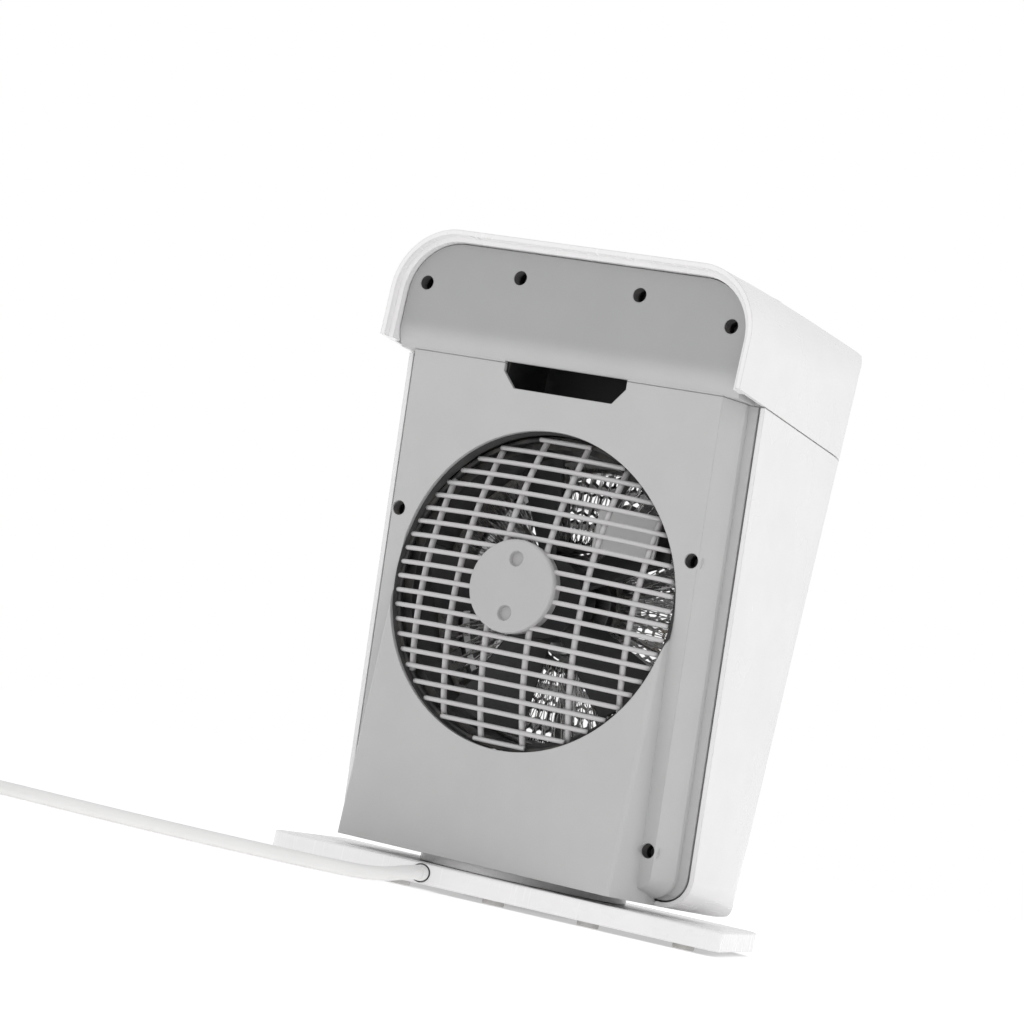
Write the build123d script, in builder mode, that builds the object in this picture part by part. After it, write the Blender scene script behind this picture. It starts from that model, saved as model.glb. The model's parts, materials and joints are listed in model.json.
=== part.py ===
from build123d import *
import os
from math import atan, cos, degrees, pi, radians, sin, sqrt, tan

os.makedirs("parts", exist_ok=True)

# Upright fan heater on a swivel base. Millimetres, +Z up, the front faces -Y.
# The origin is on the swivel axis, at the level of the feet's soles.

# ---- Driving dimensions -------------------------------------------------------------------------

body_width = 208.0
front_low = -58.0             # Y of the front at the bottom
front_tilt = 2.4              # the front leans back towards the bottom
body_rear = 85.5              # Y of the cap's rear rim
body_bottom = 17.0
body_top = 329.0              # at the cap's rear rim
plan_corner = 34.0            # front corners, seen from above
low_corner = 17.0             # lower corners, seen from the front
high_corner = 34.0            # upper corners, seen from the front
nose_corner = 18.0            # front top and bottom edges, seen from the side
top_tilt = 4.6                # the cap's top and the seam fall towards the front
seam_height = 267.0           # at the rear edge of the shell's sides
seam_gap = 0.6
shell_wall = 2.5
hair = 0.05                   # keeps rounded corners off the flat sides' planes
clearance = 0.4               # between pieces that don't touch

panel_wall = 2.5
panel_tilt = 8.6              # the back panel leans forward towards the bottom
panel_foot = 34.5             # Y of the panel's screw strip at the bottom of the body
panel_rise = 18.5             # the screw strip stands this far behind the shell's edge
strip_half = 89.5             # half width at the strip's outer edge
slope_run = 6.0               # sideways run of the sloping side
flange_drop = 14.5            # depth of the sloping side
flare_face = 59.0             # Y of the upright face below the grille
flare_half = 79.6
flare_spread = 3.5
rim_width = 5.4               # the cap's rim round the upper panel
rim_step = 8.0                # the upper panel lies this far inside the rim
rim_lip = 4.0                 # and the rim's inner ledge this far
brow_height = 276.0           # lower edge of the upper panel's face
brow_roll = 9.0               # height of the rolled edge below it

grille_height = 156.0         # centre of the intake
hub_face = 79.5               # Y of the hub's face
opening_radius = 80.8
dome_rise = 21.9
bar_pitch = 7.35
bar_count = 22
bar_height = 3.0
bar_depth = 3.0
rib_pitch = 24.3
rib_count = 6
rib_width = 3.3
hub_radius = 23.7
hub_dimple_offset = 13.8
hub_dimple_radius = 3.9

pocket_low = 255.0
pocket_half_low = 28.5
pocket_half_high = 35.5
pocket_depth = 42.0
pocket_cut = 8.0              # the opening's cut lower corners
cup_margin = 2.0              # the cup is this much wider than the opening on each side
cup_drop = 4.0
cup_wall = 2.0
cup_corner = 6.0

screw_hole_radius = 3.7
screw_sink = 12.0
boss_radius = 5.6
screw_shank_radius = 1.5
strip_screws = [(85.6, 186.0), (85.6, 43.0)]
brow_screws = [(88.2, 301.0), (34.6, 310.0)]

duct_step = 5.8               # the duct is tighter than the opening by this
fan_gap = 3.0                 # between the blades' tips and the duct
duct_wall = 2.0
duct_rear = 47.0
duct_front = -24.0
fan_hub_radius = 21.0
fan_plane = 35.0              # Y of the blades' middle
fan_depth = 16.0
blade_thick = 1.8
blade_count = 5
motor_radius = 26.0
motor_rear = 20.0
motor_front = -10.0
shaft_radius = 2.5
running_fit = 0.05

plateau_lift = 1.2            # the screw strip's form starts this far above the bottom
plateau_corner = 13.0

window_width = 160.0
window_height = 196.0
window_corner = 22.0
slat_count = 17
slat_height = 3.2

plate_width = 230.0
plate_depth = 160.0
plate_thick = 10.2
plate_corner = 9.0
feet_height = 2.5
feet_radius = 5.5
feet_pitch = 48.5
swivel_at_rest = 18.5         # the base is turned this far under the body
turntable_radius = 54.0
post_radius = 14.0
post_bore = 9.0

plate_wall = 1.8
cover_thick = 1.4

control_y = -24.0
control_width = 140.0
control_depth = 48.0
control_inlay = 1.2
knob_side = 44.0
knob_radius = 17.0
knob_height = 13.0
spindle_radius = 3.0
button_radius = 8.0
button_travel = 2.5
button_drop = 6.0             # the button's middle is this far in front of the plate's
lens_rise = 14.0
switch_side = 26.0
switch_deep = 18.0
lens_radius = 2.6

cord_radius = 3.5
cord_height = 7.9             # centre of the cord where it leaves the base
cord_exit_side = 36.5         # along the base plate's rear edge
cord_hole_width = 8.6
relief_radius = 4.1
relief_length = 32.0
relief_stand_out = 10.0
coil_mean_radius = 39.0
coil_wide = 2                 # turns side by side
coil_high = 3                 # turns on each other
coil_centre = (304.0, 150.0)  # in the base plate's own directions

boss_length = 20.0
post_wall_radius = 4.5
screw_bite = 9.0
cap_post_length = 44.0
rim_depth = 7.0
collar_radius = 11.5
panel_skirt = 7.0
flare_top = 205.0
flare_edge = 2.5
flare_root = 8.0              # the flare's sides run on this far under the strip
opening_wall_depth = 30.0
cup_height = 50.0
hub_stand_out = 1.6
hub_thick = 9.0
ring_width = 2.4
bracket_rear = -2.0
bracket_depth = 7.0
bracket_width = 7.0
blade_root_angle = 40.0
blade_tip_angle = 62.0
bracket_thick = 1.2           # the light plate at the duct's rear rim
plate_in = 34.0               # its middle is this far inside the duct, sideways
plate_down = 37.0             # and this far down from the duct's top
plate_long = 36.0
plate_tall = 20.0
mica_rear = 20.0
mica_depth = 20.0
mica_plates = 6
wire_inner = 33.0
wire_margin = 4.2             # between the outermost wire and the duct
wire_count = 8
wire_radius = 0.5
slat_depth = 9.0
frame_width = 3.0
slat_pitch = 11.0
mesh_pitch = 17.0
swivel_gap = 0.3
post_low = 5.3
washer_radius = 24.0
tip_switch_spot = (54.0, -14.0)
tip_switch_size = (30.0, 24.0, 22.0)
terminal_spot = (-68.0, -20.0)
terminal_size = (42.0, 16.0, 14.0)
swing_motor_spot = (-30.0, -12.0)
swing_motor_radius = 15.0
swing_motor_height = 16.0
cover_side = 100.0
cover_end = 45.0
cover_boss_radius = 4.5
feet_inset = 12.0
plug_radius = 17.0
tie_thick = 0.9
tie_width = 9.0

# ---- Derived places -----------------------------------------------------------------------------

duct_radius = opening_radius - duct_step
fan_radius = duct_radius - fan_gap
wire_pitch = (duct_radius - wire_margin - wire_inner) / (wire_count - 1)
plate_low = feet_height
plate_high = plate_low + plate_thick
half_width = body_width / 2
body_height = body_top - body_bottom
body_front = front_low - (body_top - body_bottom) * tan(radians(front_tilt))
seam_slope = tan(radians(top_tilt))
shell_rear_low = panel_foot - panel_rise
shell_rear_seam = shell_rear_low + (seam_height - body_bottom) * tan(radians(panel_tilt))

seam_plane = Plane(
    origin=(0, shell_rear_seam, seam_height),
    x_dir=(1, 0, 0),
    z_dir=(0, -sin(radians(top_tilt)), cos(radians(top_tilt))),
)
# The back panel's own plane: local x points left as seen from the front, local y up.
strip_plane = Plane(
    origin=(0, panel_foot, body_bottom),
    x_dir=(-1, 0, 0),
    z_dir=(0, cos(radians(panel_tilt)), -sin(radians(panel_tilt))),
)
shell_edge_plane = strip_plane.offset(-panel_rise * cos(radians(panel_tilt)))
grille_plane = Plane(origin=(0, hub_face, grille_height), x_dir=(-1, 0, 0), z_dir=(0, 1, 0))
# The front's plane: local x points right as seen from the front, local y up.
front_plane = Plane(
    origin=(0, front_low, body_bottom),
    x_dir=(1, 0, 0),
    z_dir=(0, -cos(radians(front_tilt)), -sin(radians(front_tilt))),
)
control_plane = Plane(
    origin=(0, control_y, body_top - (body_rear - control_y) * seam_slope),
    x_dir=(1, 0, 0),
    z_dir=(0, -sin(radians(top_tilt)), cos(radians(top_tilt))),
)
base_plane = Plane.XY.rotated((0, 0, swivel_at_rest))

brow_face = body_rear - rim_step
flange_inset = shell_wall + clearance + 0.6
flare_bottom = body_bottom
window_centre = grille_height - 8 - body_bottom
plateau_length = brow_height + 16 - body_bottom


def strip_y(height):
    """Y of the screw strip's surface at a height."""
    return panel_foot + (height - body_bottom) * tan(radians(panel_tilt))


screw_spots = []
for side in (-1, 1):
    screw_spots += [(side * x, z, strip_y(z)) for x, z in strip_screws]
    screw_spots += [(side * x, z, brow_face) for x, z in brow_screws]


def front_y(height):
    """Y of the front face at a height."""
    return front_low - (height - body_bottom) * tan(radians(front_tilt))


def body_form(inset, rear):
    """The casing's outer form, drawn in on every side, as a closed block up to a rear face."""
    with BuildPart() as form:
        with BuildSketch(Plane.YZ.offset(inset - half_width - hair)):
            Polygon(
                (front_y(0) + inset, 0),
                (rear + 1, 0),
                (rear + 1, body_top + nose_corner),
                (front_y(body_top + nose_corner) + inset, body_top + nose_corner),
                align=None,
            )
        extrude(amount=body_width - 2 * inset + 2 * hair)
        tall_edges = form.edges().filter_by(lambda edge: edge.length > body_top)
        fillet(tall_edges.group_by(Axis.Y)[0], plan_corner - inset)
        with BuildSketch(Plane.XZ.offset(-rear)) as face:
            with Locations((0, (body_bottom + body_top) / 2)):
                Rectangle(body_width - 2 * inset, body_top - body_bottom - 2 * inset)
            fillet(face.vertices().group_by(Axis.Y)[0], low_corner - inset)
            fillet(face.vertices().group_by(Axis.Y)[-1], high_corner - inset)
        extrude(amount=rear - body_front + nose_corner, mode=Mode.INTERSECT)
        with BuildSketch(Plane.YZ.offset(-half_width)) as side:
            top_rear = body_top - inset + (rear - body_rear) * seam_slope
            top_front = top_rear - (rear - body_front - inset) * seam_slope
            Polygon(
                (front_low + inset, body_bottom + inset),
                (rear + 1, body_bottom + inset),
                (rear + 1, top_rear),
                (front_y(top_front) + inset, top_front),
                align=None,
            )
            fillet(side.vertices().sort_by(Axis.X)[:2], nose_corner - inset)
        extrude(amount=body_width, mode=Mode.INTERSECT)
    return form.part


def face_outline(inset):
    """The casing's outline seen from the front, as a sketch in local x and height."""
    with BuildSketch(Plane.XZ) as outline:
        with Locations((0, (body_bottom + body_top) / 2)):
            Rectangle(body_width - 2 * inset, body_top - body_bottom - 2 * inset)
        fillet(outline.vertices().group_by(Axis.Y)[0], low_corner - inset)
        fillet(outline.vertices().group_by(Axis.Y)[-1], high_corner - inset)
    return outline.sketch


def mirrored(points):
    """The points and their mirror images left and right of the middle."""
    return points + [(-x, z) for x, z in points]


def finish(node, name):
    """Label a finished piece, write it and print what it is."""
    node.part.label = name
    export_step(node.part, f"parts/{name}.step")
    print(name, node.part.is_valid, len(node.part.solids()), round(node.part.volume))


# ---- Front shell: sides, bottom and front frame -------------------------------------------------

casing_outside = body_form(0, body_rear)
casing_inside = body_form(shell_wall, body_rear + shell_wall)
post_spots = [(x, z, strip_y(z)) for x, z in mirrored(strip_screws)]
with BuildPart() as front_shell:
    add(casing_outside)
    add(casing_inside, mode=Mode.SUBTRACT)
    split(bisect_by=seam_plane, keep=Keep.BOTTOM)
    split(bisect_by=shell_edge_plane, keep=Keep.BOTTOM)
    for x, z, strip in post_spots:
        with BuildSketch(Plane.XZ.offset(-(strip - boss_length))):
            with Locations((x, z)):
                Circle(post_wall_radius)
        extrude(amount=strip - boss_length - front_y(z) - shell_wall / 2)
        with BuildSketch(Plane.XZ.offset(-(strip - boss_length))):
            with Locations((x, z)):
                Circle(screw_shank_radius)
        extrude(amount=screw_bite, mode=Mode.SUBTRACT)
    add(casing_outside, mode=Mode.INTERSECT)
    with BuildSketch(front_plane.offset(1)):
        with Locations((0, window_centre)):
            RectangleRounded(window_width, window_height, window_corner)
    extrude(amount=-shell_wall - 3, mode=Mode.SUBTRACT)
    with BuildSketch(Plane.XY.offset(body_bottom - 1)):
        Circle(collar_radius)
    extrude(amount=shell_wall + 2, mode=Mode.SUBTRACT)
finish(front_shell, "front_shell")

# ---- Top cap ------------------------------------------------------------------------------------


def roof_height(x, y, depth):
    """Height of the cap's roof at a place, a depth below its outer face."""
    over = max(abs(x) - (half_width - high_corner), 0)
    arc = body_top - high_corner + sqrt((high_corner - depth) ** 2 - over**2)
    slope = body_top - depth - (body_rear - y) * seam_slope
    return min(arc, slope)


with BuildPart() as top_cap:
    add(casing_outside)
    add(casing_inside, mode=Mode.SUBTRACT)
    with BuildSketch(Plane.XZ.offset(-body_rear + rim_lip)):
        add(face_outline(shell_wall - 0.5))
        add(face_outline(rim_width), mode=Mode.SUBTRACT)
    extrude(amount=rim_depth)
    for x, z in mirrored(brow_screws):
        with BuildSketch(Plane.XZ.offset(-(brow_face - boss_length))):
            with Locations((x, z)):
                Circle(post_wall_radius)
        extrude(amount=cap_post_length)
        with BuildSketch(Plane.YZ.offset(x - 1.5)):
            post_front = brow_face - boss_length - cap_post_length
            # The web stops short of the panel's skirt, which leans back with height.
            web_rear = shell_rear_low + (z - body_bottom) * tan(radians(panel_tilt)) - panel_skirt
            web_rear -= 2 * clearance
            Polygon(
                (web_rear, z),
                (post_front, z),
                (post_front, roof_height(x, post_front, 1.2)),
                (web_rear, roof_height(x, web_rear, 1.2)),
                align=None,
            )
        extrude(amount=3)
        with BuildSketch(Plane.XZ.offset(-(brow_face - boss_length))):
            with Locations((x, z)):
                Circle(screw_shank_radius)
        extrude(amount=screw_bite, mode=Mode.SUBTRACT)
    split(bisect_by=seam_plane.offset(seam_gap), keep=Keep.TOP)
    with BuildSketch(control_plane):
        RectangleRounded(control_width, control_depth, control_depth / 2 - 0.1)
    extrude(amount=-control_inlay, mode=Mode.SUBTRACT)
    with BuildSketch(control_plane):
        with Locations((knob_side, 0), (-knob_side, 0)):
            Circle(spindle_radius + 1)
        with Locations((0, -button_drop)):
            Circle(button_radius + clearance)
        with Locations((0, lens_rise)):
            Circle(lens_radius)
    extrude(amount=-8, mode=Mode.SUBTRACT)
finish(top_cap, "top_cap")

# ---- Back panel ---------------------------------------------------------------------------------


def panel_form(inset):
    """The back panel's outer form as a closed block, drawn in by the inset and open forwards."""
    forward = body_rear - body_front - nose_corner - plan_corner
    with BuildPart() as form:
        with BuildSketch(Plane.XZ.offset(-body_rear)):
            add(face_outline(flange_inset + inset))
            with Locations((0, brow_height - body_height / 2)):
                Rectangle(body_width, body_height, mode=Mode.INTERSECT)
        extrude(amount=forward + 20)
        split(bisect_by=shell_edge_plane.offset(0.3 - inset), keep=Keep.BOTTOM)
        with BuildSketch(strip_plane.offset(-flange_drop)) as plateau:
            with Locations((0, plateau_length / 2 + plateau_lift)):
                foot_half = strip_half + slope_run - inset
                Rectangle(2 * foot_half, plateau_length - 2 * inset)
            fillet(plateau.vertices().group_by(Axis.Y)[0], plateau_corner - inset)
        extrude(amount=flange_drop - inset, taper=degrees(atan(slope_run / flange_drop)))
        with BuildSketch(strip_plane.offset(-flange_drop)):
            add(plateau.sketch_local)
        extrude(amount=-forward)
        with BuildSketch(Plane.XY.offset(flare_bottom + inset)) as flare:
            face_half = flare_half - inset
            deep = flare_face - panel_foot + flare_root
            Polygon(
                (face_half, flare_face - inset),
                (face_half + flare_spread * deep / (deep - flare_root), flare_face - deep),
                (face_half + flare_spread * deep / (deep - flare_root), flare_face - deep - forward),
                (-face_half - flare_spread * deep / (deep - flare_root), flare_face - deep - forward),
                (-face_half - flare_spread * deep / (deep - flare_root), flare_face - deep),
                (-face_half, flare_face - inset),
                align=None,
            )
            fillet(flare.vertices().group_by(Axis.Y)[-1], flare_edge)
        extrude(amount=flare_top - flare_bottom)
        with BuildPart(mode=Mode.PRIVATE) as brow:
            with BuildSketch(Plane.YZ.offset(-half_width)):
                with BuildLine():
                    low = brow_height - brow_roll
                    ThreePointArc(
                        (strip_y(low) - 1 - inset, low + inset),
                        (brow_face - 1.6 - inset, brow_height - 3.6 + inset),
                        (brow_face - inset, brow_height + 2 + inset),
                    )
                    Polyline(
                        (brow_face - inset, brow_height + 2 + inset),
                        (brow_face - inset, body_top),
                        (body_rear - forward, body_top),
                        (body_rear - forward, low + inset),
                        (strip_y(low) - 1 - inset, low + inset),
                    )
                make_face()
            extrude(amount=body_width)
            with BuildSketch(Plane.XZ.offset(-body_rear)):
                add(face_outline(rim_width + clearance + inset))
            extrude(amount=forward + 20, mode=Mode.INTERSECT)
        add(brow.part)
    return form.part


panel_block = panel_form(0)
with BuildPart() as opening_wall:
    with BuildSketch(grille_plane):
        Circle(opening_radius + panel_wall)
    extrude(amount=-opening_wall_depth)
    add(panel_block, mode=Mode.INTERSECT)

with BuildPart() as rear_moulding:
    add(panel_block)
    add(panel_form(panel_wall), mode=Mode.SUBTRACT)
    split(bisect_by=shell_edge_plane.offset(-panel_skirt), keep=Keep.TOP)
    # The panel's floor stops at the edge of the shell's bottom.
    with BuildSketch(shell_edge_plane.offset(clearance)):
        Rectangle(body_width, 2 * flange_inset + 1)
    extrude(amount=-3 * panel_skirt, mode=Mode.SUBTRACT)
    add(opening_wall.part)
    with BuildSketch(grille_plane.offset(5)):
        Circle(opening_radius)
    extrude(amount=-opening_wall_depth - 20, mode=Mode.SUBTRACT)
    for x, z, face in screw_spots:
        with BuildSketch(Plane.XZ.offset(-(face - 2))):
            with Locations((x, z)):
                Circle(boss_radius)
        extrude(amount=boss_length - 2)
        with BuildSketch(Plane.XZ.offset(-(face + 5))):
            with Locations((x, z)):
                Circle(screw_hole_radius)
        extrude(amount=screw_sink + 5, mode=Mode.SUBTRACT)
        with BuildSketch(Plane.XZ.offset(-face)):
            with Locations((x, z)):
                Circle(screw_shank_radius + 0.3)
        extrude(amount=boss_length + 2, mode=Mode.SUBTRACT)
    with BuildSketch(Plane.XZ.offset(-body_rear - 5)):
        Polygon(
            (-pocket_half_low, pocket_low),
            (pocket_half_low, pocket_low),
            (pocket_half_high, pocket_low + pocket_cut),
            (pocket_half_high, brow_height - pocket_cut),
            (-pocket_half_high, brow_height - pocket_cut),
            (-pocket_half_high, pocket_low + pocket_cut),
            align=None,
        )
    extrude(amount=30, mode=Mode.SUBTRACT)

# The rear moulding is in two pieces: the upper one under the cap ends above the finger opening.
panel_joint = Plane.XY.offset(brow_height - brow_roll)
with BuildPart() as upper_panel:
    add(rear_moulding.part)
    split(bisect_by=panel_joint.offset(0.2), keep=Keep.TOP)
finish(upper_panel, "upper_panel")

with BuildPart() as lower_panel:
    add(rear_moulding.part)
    split(bisect_by=panel_joint, keep=Keep.BOTTOM)
finish(lower_panel, "back_panel")

# ---- Back screws --------------------------------------------------------------------------------

with BuildPart() as back_screws:
    for x, z, face in screw_spots:
        with BuildSketch(Plane.XZ.offset(-(face - screw_sink + 2.2))):
            with Locations((x, z)):
                Circle(screw_hole_radius - clearance)
        extrude(amount=2.2)
        with BuildSketch(Plane.XZ.offset(-(face - screw_sink))):
            with Locations((x, z)):
                Circle(screw_shank_radius)
        extrude(amount=boss_length - screw_sink + screw_bite)
finish(back_screws, "back_screws")

# ---- Handle cup behind the finger opening -------------------------------------------------------

cup_half = pocket_half_high + cup_margin
cup_low = pocket_low - cup_drop
cup_rear = strip_y(cup_low) - panel_wall - clearance
with BuildPart() as handle_cup:
    with BuildSketch(Plane.XZ.offset(-cup_rear)):
        with Locations((0, cup_low + cup_height / 2)):
            RectangleRounded(2 * cup_half, cup_height, cup_corner)
    extrude(amount=pocket_depth)
    with BuildSketch(Plane.XZ.offset(-cup_rear)):
        with Locations((0, cup_low + cup_height / 2)):
            RectangleRounded(
                2 * cup_half - 2 * cup_wall, cup_height - 2 * cup_wall, cup_corner - cup_wall
            )
    extrude(amount=pocket_depth - cup_wall, mode=Mode.SUBTRACT)
finish(handle_cup, "handle_cup")

# ---- Intake grille ------------------------------------------------------------------------------

grille_radius = opening_radius - clearance
dome_radius = (grille_radius**2 + dome_rise**2) / (2 * dome_rise)
dome_inner = hub_radius - 4
dome_outer = grille_radius - ring_width / 2


def dome_layer(depth, thick):
    """A dome's layer, a depth inside its outer face, with its tip just inside the hub's face."""
    with BuildPart() as layer:
        with BuildSketch(Plane.XY):
            with Locations((0, hub_face - dome_radius - hub_stand_out)):
                Circle(dome_radius - depth)
                Circle(dome_radius - depth - thick, mode=Mode.SUBTRACT)
            with Locations(((dome_inner + dome_outer) / 2, hub_face - 20)):
                Rectangle(dome_outer - dome_inner, 50, mode=Mode.INTERSECT)
        revolve(axis=Axis.Y)
    return layer.part.moved(Location((0, 0, grille_height)))


with BuildPart() as cross_bars:
    add(dome_layer(0, bar_depth))
    with BuildSketch(Plane.XZ.offset(-body_rear)):
        with Locations((0, grille_height)):
            with GridLocations(0, bar_pitch, 1, bar_count):
                Rectangle(2 * grille_radius, bar_height)
    extrude(amount=60, mode=Mode.INTERSECT)

with BuildPart() as upright_bars:
    add(dome_layer(bar_depth - 0.4, bar_depth))
    with BuildSketch(Plane.XZ.offset(-body_rear)):
        with Locations((0, grille_height)):
            with GridLocations(rib_pitch, 0, rib_count, 1):
                Rectangle(rib_width, 2 * grille_radius)
    extrude(amount=60, mode=Mode.INTERSECT)

with BuildPart() as rear_grille:
    add(cross_bars.part)
    add(upright_bars.part)
    with BuildSketch(grille_plane.offset(-dome_rise - hub_stand_out - 2 * bar_depth)):
        Circle(grille_radius)
        Circle(grille_radius - ring_width, mode=Mode.SUBTRACT)
    extrude(amount=2 * bar_depth + 1)
    with BuildSketch(grille_plane):
        Circle(hub_radius)
    extrude(amount=-hub_thick)
    with BuildSketch(grille_plane):
        with Locations((0, hub_dimple_offset), (0, -hub_dimple_offset)):
            Circle(hub_dimple_radius)
    extrude(amount=-2, mode=Mode.SUBTRACT)
finish(rear_grille, "rear_grille")

# ---- Fan duct -----------------------------------------------------------------------------------

with BuildPart() as fan_duct:
    with BuildSketch(Plane.XZ.offset(-duct_rear)):
        with Locations((0, grille_height)):
            Circle(duct_radius + duct_wall)
            Circle(duct_radius, mode=Mode.SUBTRACT)
    extrude(amount=duct_rear - duct_front)
    with BuildSketch(Plane.XZ.offset(-duct_rear)):
        with Locations((0, grille_height)):
            Circle(opening_radius - clearance)
            Circle(duct_radius + 1, mode=Mode.SUBTRACT)
    extrude(amount=duct_wall)
finish(fan_duct, "fan_duct")

# ---- Motor, its shaft and bearings --------------------------------------------------------------

for name, rear, front, outer, inner in (
    ("motor_can", motor_rear, motor_front, motor_radius, shaft_radius + 5),
    ("rear_bearing", motor_rear, motor_rear - 5, shaft_radius + 5, shaft_radius + running_fit),
    ("front_bearing", motor_front + 5, motor_front, shaft_radius + 5, shaft_radius + running_fit),
):
    with BuildPart() as turned:
        with BuildSketch(Plane.XZ.offset(-rear)):
            with Locations((0, grille_height)):
                Circle(outer)
                Circle(inner, mode=Mode.SUBTRACT)
        extrude(amount=rear - front)
    finish(turned, name)

with BuildPart() as motor_shaft:
    with BuildSketch(Plane.XZ.offset(-(fan_plane + fan_depth / 2 + 2))):
        with Locations((0, grille_height)):
            Circle(shaft_radius)
    extrude(amount=fan_plane + fan_depth / 2 + 2 - motor_front + 4)
    chamfer(motor_shaft.edges().filter_by(GeomType.CIRCLE), 0.5)
finish(motor_shaft, "motor_shaft")

# Three arms hold the motor in the duct, between the mica plates.
with BuildPart() as motor_bracket:
    with BuildSketch(Plane.XZ.offset(-bracket_rear)):
        with Locations((0, grille_height)):
            Circle(duct_radius)
            Circle(duct_radius - 3, mode=Mode.SUBTRACT)
            Circle(motor_radius + 3)
            with PolarLocations((duct_radius + motor_radius) / 2, 3, 30):
                Rectangle(duct_radius - motor_radius - 1, bracket_width)
            Circle(motor_radius, mode=Mode.SUBTRACT)
    extrude(amount=bracket_depth)
finish(motor_bracket, "motor_bracket")

# ---- Impeller -----------------------------------------------------------------------------------

with BuildPart() as impeller:
    for number in range(blade_count):
        turn = 360 / blade_count * number
        out = Plane(
            origin=(0, fan_plane, grille_height),
            x_dir=(0, 1, 0),
            z_dir=(cos(radians(turn)), 0, sin(radians(turn))),
        )
        with BuildSketch(out.offset(fan_hub_radius - 3)):
            Rectangle(20, blade_thick, rotation=blade_root_angle)
        with BuildSketch(out.offset(fan_radius + 3)):
            Rectangle(40, blade_thick, rotation=blade_tip_angle)
        loft()
    with BuildSketch(Plane.XZ.offset(-(fan_plane + fan_depth))):
        with Locations((0, grille_height)):
            Circle(fan_radius)
    extrude(amount=2 * fan_depth, mode=Mode.INTERSECT)
    with BuildSketch(Plane.XZ.offset(-(fan_plane + fan_depth / 2))):
        with Locations((0, grille_height)):
            Circle(fan_hub_radius)
    extrude(amount=fan_depth)
    with BuildSketch(Plane.XZ.offset(-(fan_plane + fan_depth))):
        with Locations((0, grille_height)):
            Circle(shaft_radius)
    extrude(amount=2 * fan_depth, mode=Mode.SUBTRACT)
finish(impeller, "impeller")

# ---- Heater: mica frame and resistance wires ----------------------------------------------------

with BuildPart() as mica_frame:
    with BuildSketch(Plane.XZ.offset(-mica_rear)):
        with Locations((0, grille_height)):
            Circle(duct_radius - clearance)
            Circle(duct_radius - clearance - 1, mode=Mode.SUBTRACT)
            Circle(motor_radius + 4.4)
            Circle(motor_radius + 3.4, mode=Mode.SUBTRACT)
            with PolarLocations((duct_radius + motor_radius + 2) / 2, mica_plates, 0):
                Rectangle(duct_radius - motor_radius - 4, 1)
    extrude(amount=mica_depth)
finish(mica_frame, "mica_frame")

with BuildPart() as heating_wires:
    for number in range(wire_count):
        with BuildSketch(Plane.XY):
            with Locations((wire_inner + number * wire_pitch, mica_rear + wire_radius)):
                Circle(wire_radius)
        revolve(axis=Axis.Y)
heating_wires.part = heating_wires.part.moved(Location((0, 0, grille_height)))
finish(heating_wires, "heating_wires")

with BuildPart() as thermostat_plate:
    with BuildSketch(Plane.XZ.offset(-(duct_rear + bracket_thick))):
        with Locations((plate_in - duct_radius, grille_height + duct_radius - plate_down)):
            Rectangle(plate_long, plate_tall)
    extrude(amount=bracket_thick)
finish(thermostat_plate, "thermostat_plate")

with BuildPart() as thermal_cutout:
    with BuildSketch(Plane.XZ.offset(-(duct_front - 1))):
        with Locations((0, grille_height + 52)):
            Circle(8)
    extrude(amount=6)
    with BuildSketch(Plane.XZ.offset(-(duct_front - 1))):
        with Locations((0, grille_height + 52)):
            Rectangle(24, 6)
    extrude(amount=1)
finish(thermal_cutout, "thermal_cutout")

# ---- Front mesh and front grille ----------------------------------------------------------------

mesh_columns = int((window_width - 4) / mesh_pitch)
mesh_rows = int((window_height - 4) / mesh_pitch)
with BuildPart() as front_mesh:
    with BuildSketch(front_plane.offset(-slat_depth - 1.5)):
        with Locations((0, window_centre)):
            RectangleRounded(window_width + 4, window_height + 4, window_corner)
            with GridLocations(mesh_pitch, mesh_pitch, mesh_columns, mesh_rows):
                Circle(mesh_pitch / 2 - 1.5, mode=Mode.SUBTRACT)
    extrude(amount=-0.8)
finish(front_mesh, "front_mesh")

outer_width = window_width - 2 * clearance
outer_height = window_height - 2 * clearance
outer_corner = window_corner - clearance
with BuildPart() as front_grille:
    with BuildSketch(front_plane.offset(-slat_depth)):
        with Locations((0, window_centre)):
            RectangleRounded(outer_width, outer_height, outer_corner)
            RectangleRounded(
                outer_width - 2 * frame_width,
                outer_height - 2 * frame_width,
                outer_corner - frame_width,
                mode=Mode.SUBTRACT,
            )
    extrude(amount=slat_depth - 0.5)
    with BuildSketch(front_plane.offset(-slat_depth)):
        with Locations((0, window_centre)):
            with GridLocations(0, slat_pitch, 1, slat_count):
                Rectangle(outer_width, slat_height)
            RectangleRounded(outer_width, outer_height, outer_corner, mode=Mode.INTERSECT)
    extrude(amount=slat_depth - 1.5)
finish(front_grille, "front_grille")

# ---- Controls on the cap ------------------------------------------------------------------------

roof_inside = -shell_wall - 0.3
with BuildPart() as control_plate:
    with BuildSketch(control_plane.offset(-control_inlay)):
        RectangleRounded(
            control_width - 2 * clearance,
            control_depth - 2 * clearance,
            control_depth / 2 - 0.5 - clearance,
        )
        with Locations((knob_side, 0), (-knob_side, 0)):
            Circle(spindle_radius + running_fit, mode=Mode.SUBTRACT)
        with Locations((0, -button_drop)):
            Circle(button_radius + running_fit, mode=Mode.SUBTRACT)
        with Locations((0, lens_rise)):
            Circle(lens_radius, mode=Mode.SUBTRACT)
    extrude(amount=control_inlay)
finish(control_plate, "control_plate")

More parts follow.
